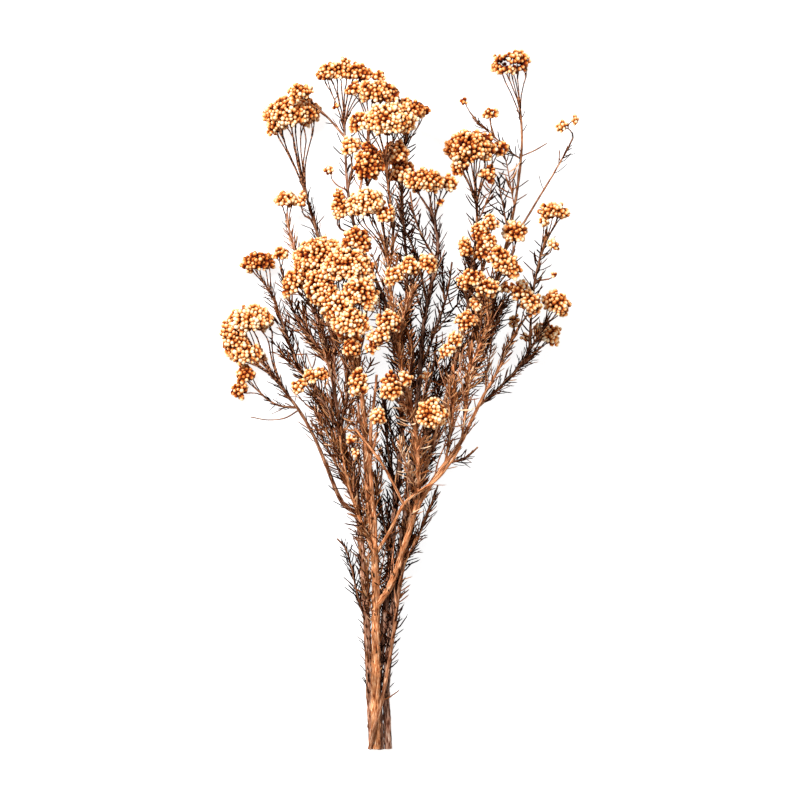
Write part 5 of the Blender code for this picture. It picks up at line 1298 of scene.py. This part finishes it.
def add_core(gathered, lobe):
    """The dark inside of a lobe: a body of painted shade, standing for the shade among the inner florets."""
    points = on_lobe(lobe, core_ball, min(CORE_DEEP[0], CORE_DEEP[1] * lobe[2].min()))
    points[:, 2] = np.maximum(points[:, 2], LOWEST_STALK)
    gathered.add(points, core_skin, INSIDE)


# The stalks are brown and finely streaked. The inside of a head is a dark body of painted shade, seen only as
# dark gaps between florets.
floret_look = papery_floret()
stalk_look = grainy("dyed_stalk", 0.7, 0.04, 700.0, 2.0, (
    (0.38, "#140501"), (0.49, "#46200f"), (0.62, "#98684a")))
inside_look = grainy("shaded_bracts", 0.9, 0.02, 600.0, 2.0, ((0.3, "#4e1404"), (0.7, "#94390d")))
core_ball, core_skin = core_form()
for name, head in heads.items():
    rng = own_draw(name, 3)
    gathered = Gathered(("height", "tint"))
    number = int(name[-2:])
    lost, tone, full = (known.get(number, 0.0) for known in (OPEN_HEADS, HEAD_TONE, FULL_HEADS))
    ends = []
    for lobe in head["lobes"]:
        ends.append(add_florets(gathered, lobe, head["lobes"], tone, lost, full, rng))
        if not lost:
            add_core(gathered, lobe)
    add_broom(gathered, twigs[head["twig"]]["line"], np.concatenate(ends), rng)
    shown(name + "_florets", gathered.mesh(name + "_florets", (floret_look, stalk_look, inside_look)),
          name)


# The surface, the light and the camera. The bunch lies on a plain white light table in soft light, and the
# camera looks straight down on it from far off, as the photograph shows it.
TABLE_SIZE = 3.0  # m
TABLE_DROP = 0.0004  # m from the bunch down to it
TABLE_GLOW = 0.86  # strength of the light that comes through the table
ROOM_LIGHT = 0.33  # strength of the even light around
PICTURE = 800  # pixels across the picture, and down it
PIXEL = SQUARE / 1000  # m of the object in a pixel of the picture
CAMERA_HEIGHT = 12.0  # m
MIDDLE_HEIGHT = 0.04  # m, where the bunch is shown at its true scale
SENSOR = 0.036  # m
LAMPS = (("key_light", (-1.0, 1.1, 2.2), 0.7, 120.0),
         ("fill_light", (1.4, -0.6, 2.0), 1.6, 8.0))  # name, place in m, width in m, power in W

# Opal acrylic lit from below: most of its white is the light that comes through.
opal = grainy("opal_acrylic", 0.9, 0.1, 400.0, 2.0, ((0.3, "#a6a6a6"), (0.7, "#acacac")))
opal_shader = opal.node_tree.nodes["Principled BSDF"]
opal_shader.inputs["Emission Color"].default_value = (1, 1, 1, 1)
opal_shader.inputs["Emission Strength"].default_value = TABLE_GLOW
table_mesh = bpy.data.meshes.new("light_table")
edge = TABLE_SIZE / 2
table_mesh.from_pydata([(-edge, -edge, 0), (edge, -edge, 0), (edge, edge, 0), (-edge, edge, 0)], [],
                       [(0, 1, 2, 3)])
table_mesh.materials.append(opal)
table = bpy.data.objects.new("light_table", table_mesh)
bpy.context.scene.collection.objects.link(table)
table.location.z = -TABLE_DROP

world = bpy.data.worlds.new("soft_light")
world.use_nodes = True
world.node_tree.nodes["Background"].inputs["Color"].default_value = (1, 1, 1, 1)
world.node_tree.nodes["Background"].inputs["Strength"].default_value = ROOM_LIGHT
bpy.context.scene.world = world
for name, place, width, power in LAMPS:
    lamp = bpy.data.lights.new(name, "AREA")
    lamp.energy = power
    lamp.size = width
    lamp_object = bpy.data.objects.new(name, lamp)
    lamp_object.location = place
    lamp_object.rotation_euler = (-Vector(place)).to_track_quat("-Z", "Y").to_euler()
    bpy.context.scene.collection.objects.link(lamp_object)

lens = bpy.data.cameras.new("overhead")
lens.sensor_width = 1000 * SENSOR
lens.lens = 1000 * SENSOR * (CAMERA_HEIGHT - MIDDLE_HEIGHT) / (PICTURE * PIXEL)
lens.clip_end = 20
camera = bpy.data.objects.new("overhead", lens)
camera.location = ((PICTURE / 2 - ORIGIN[0]) * PIXEL, (ORIGIN[1] - PICTURE / 2) * PIXEL, CAMERA_HEIGHT)
bpy.context.scene.collection.objects.link(camera)
bpy.context.scene.camera = camera
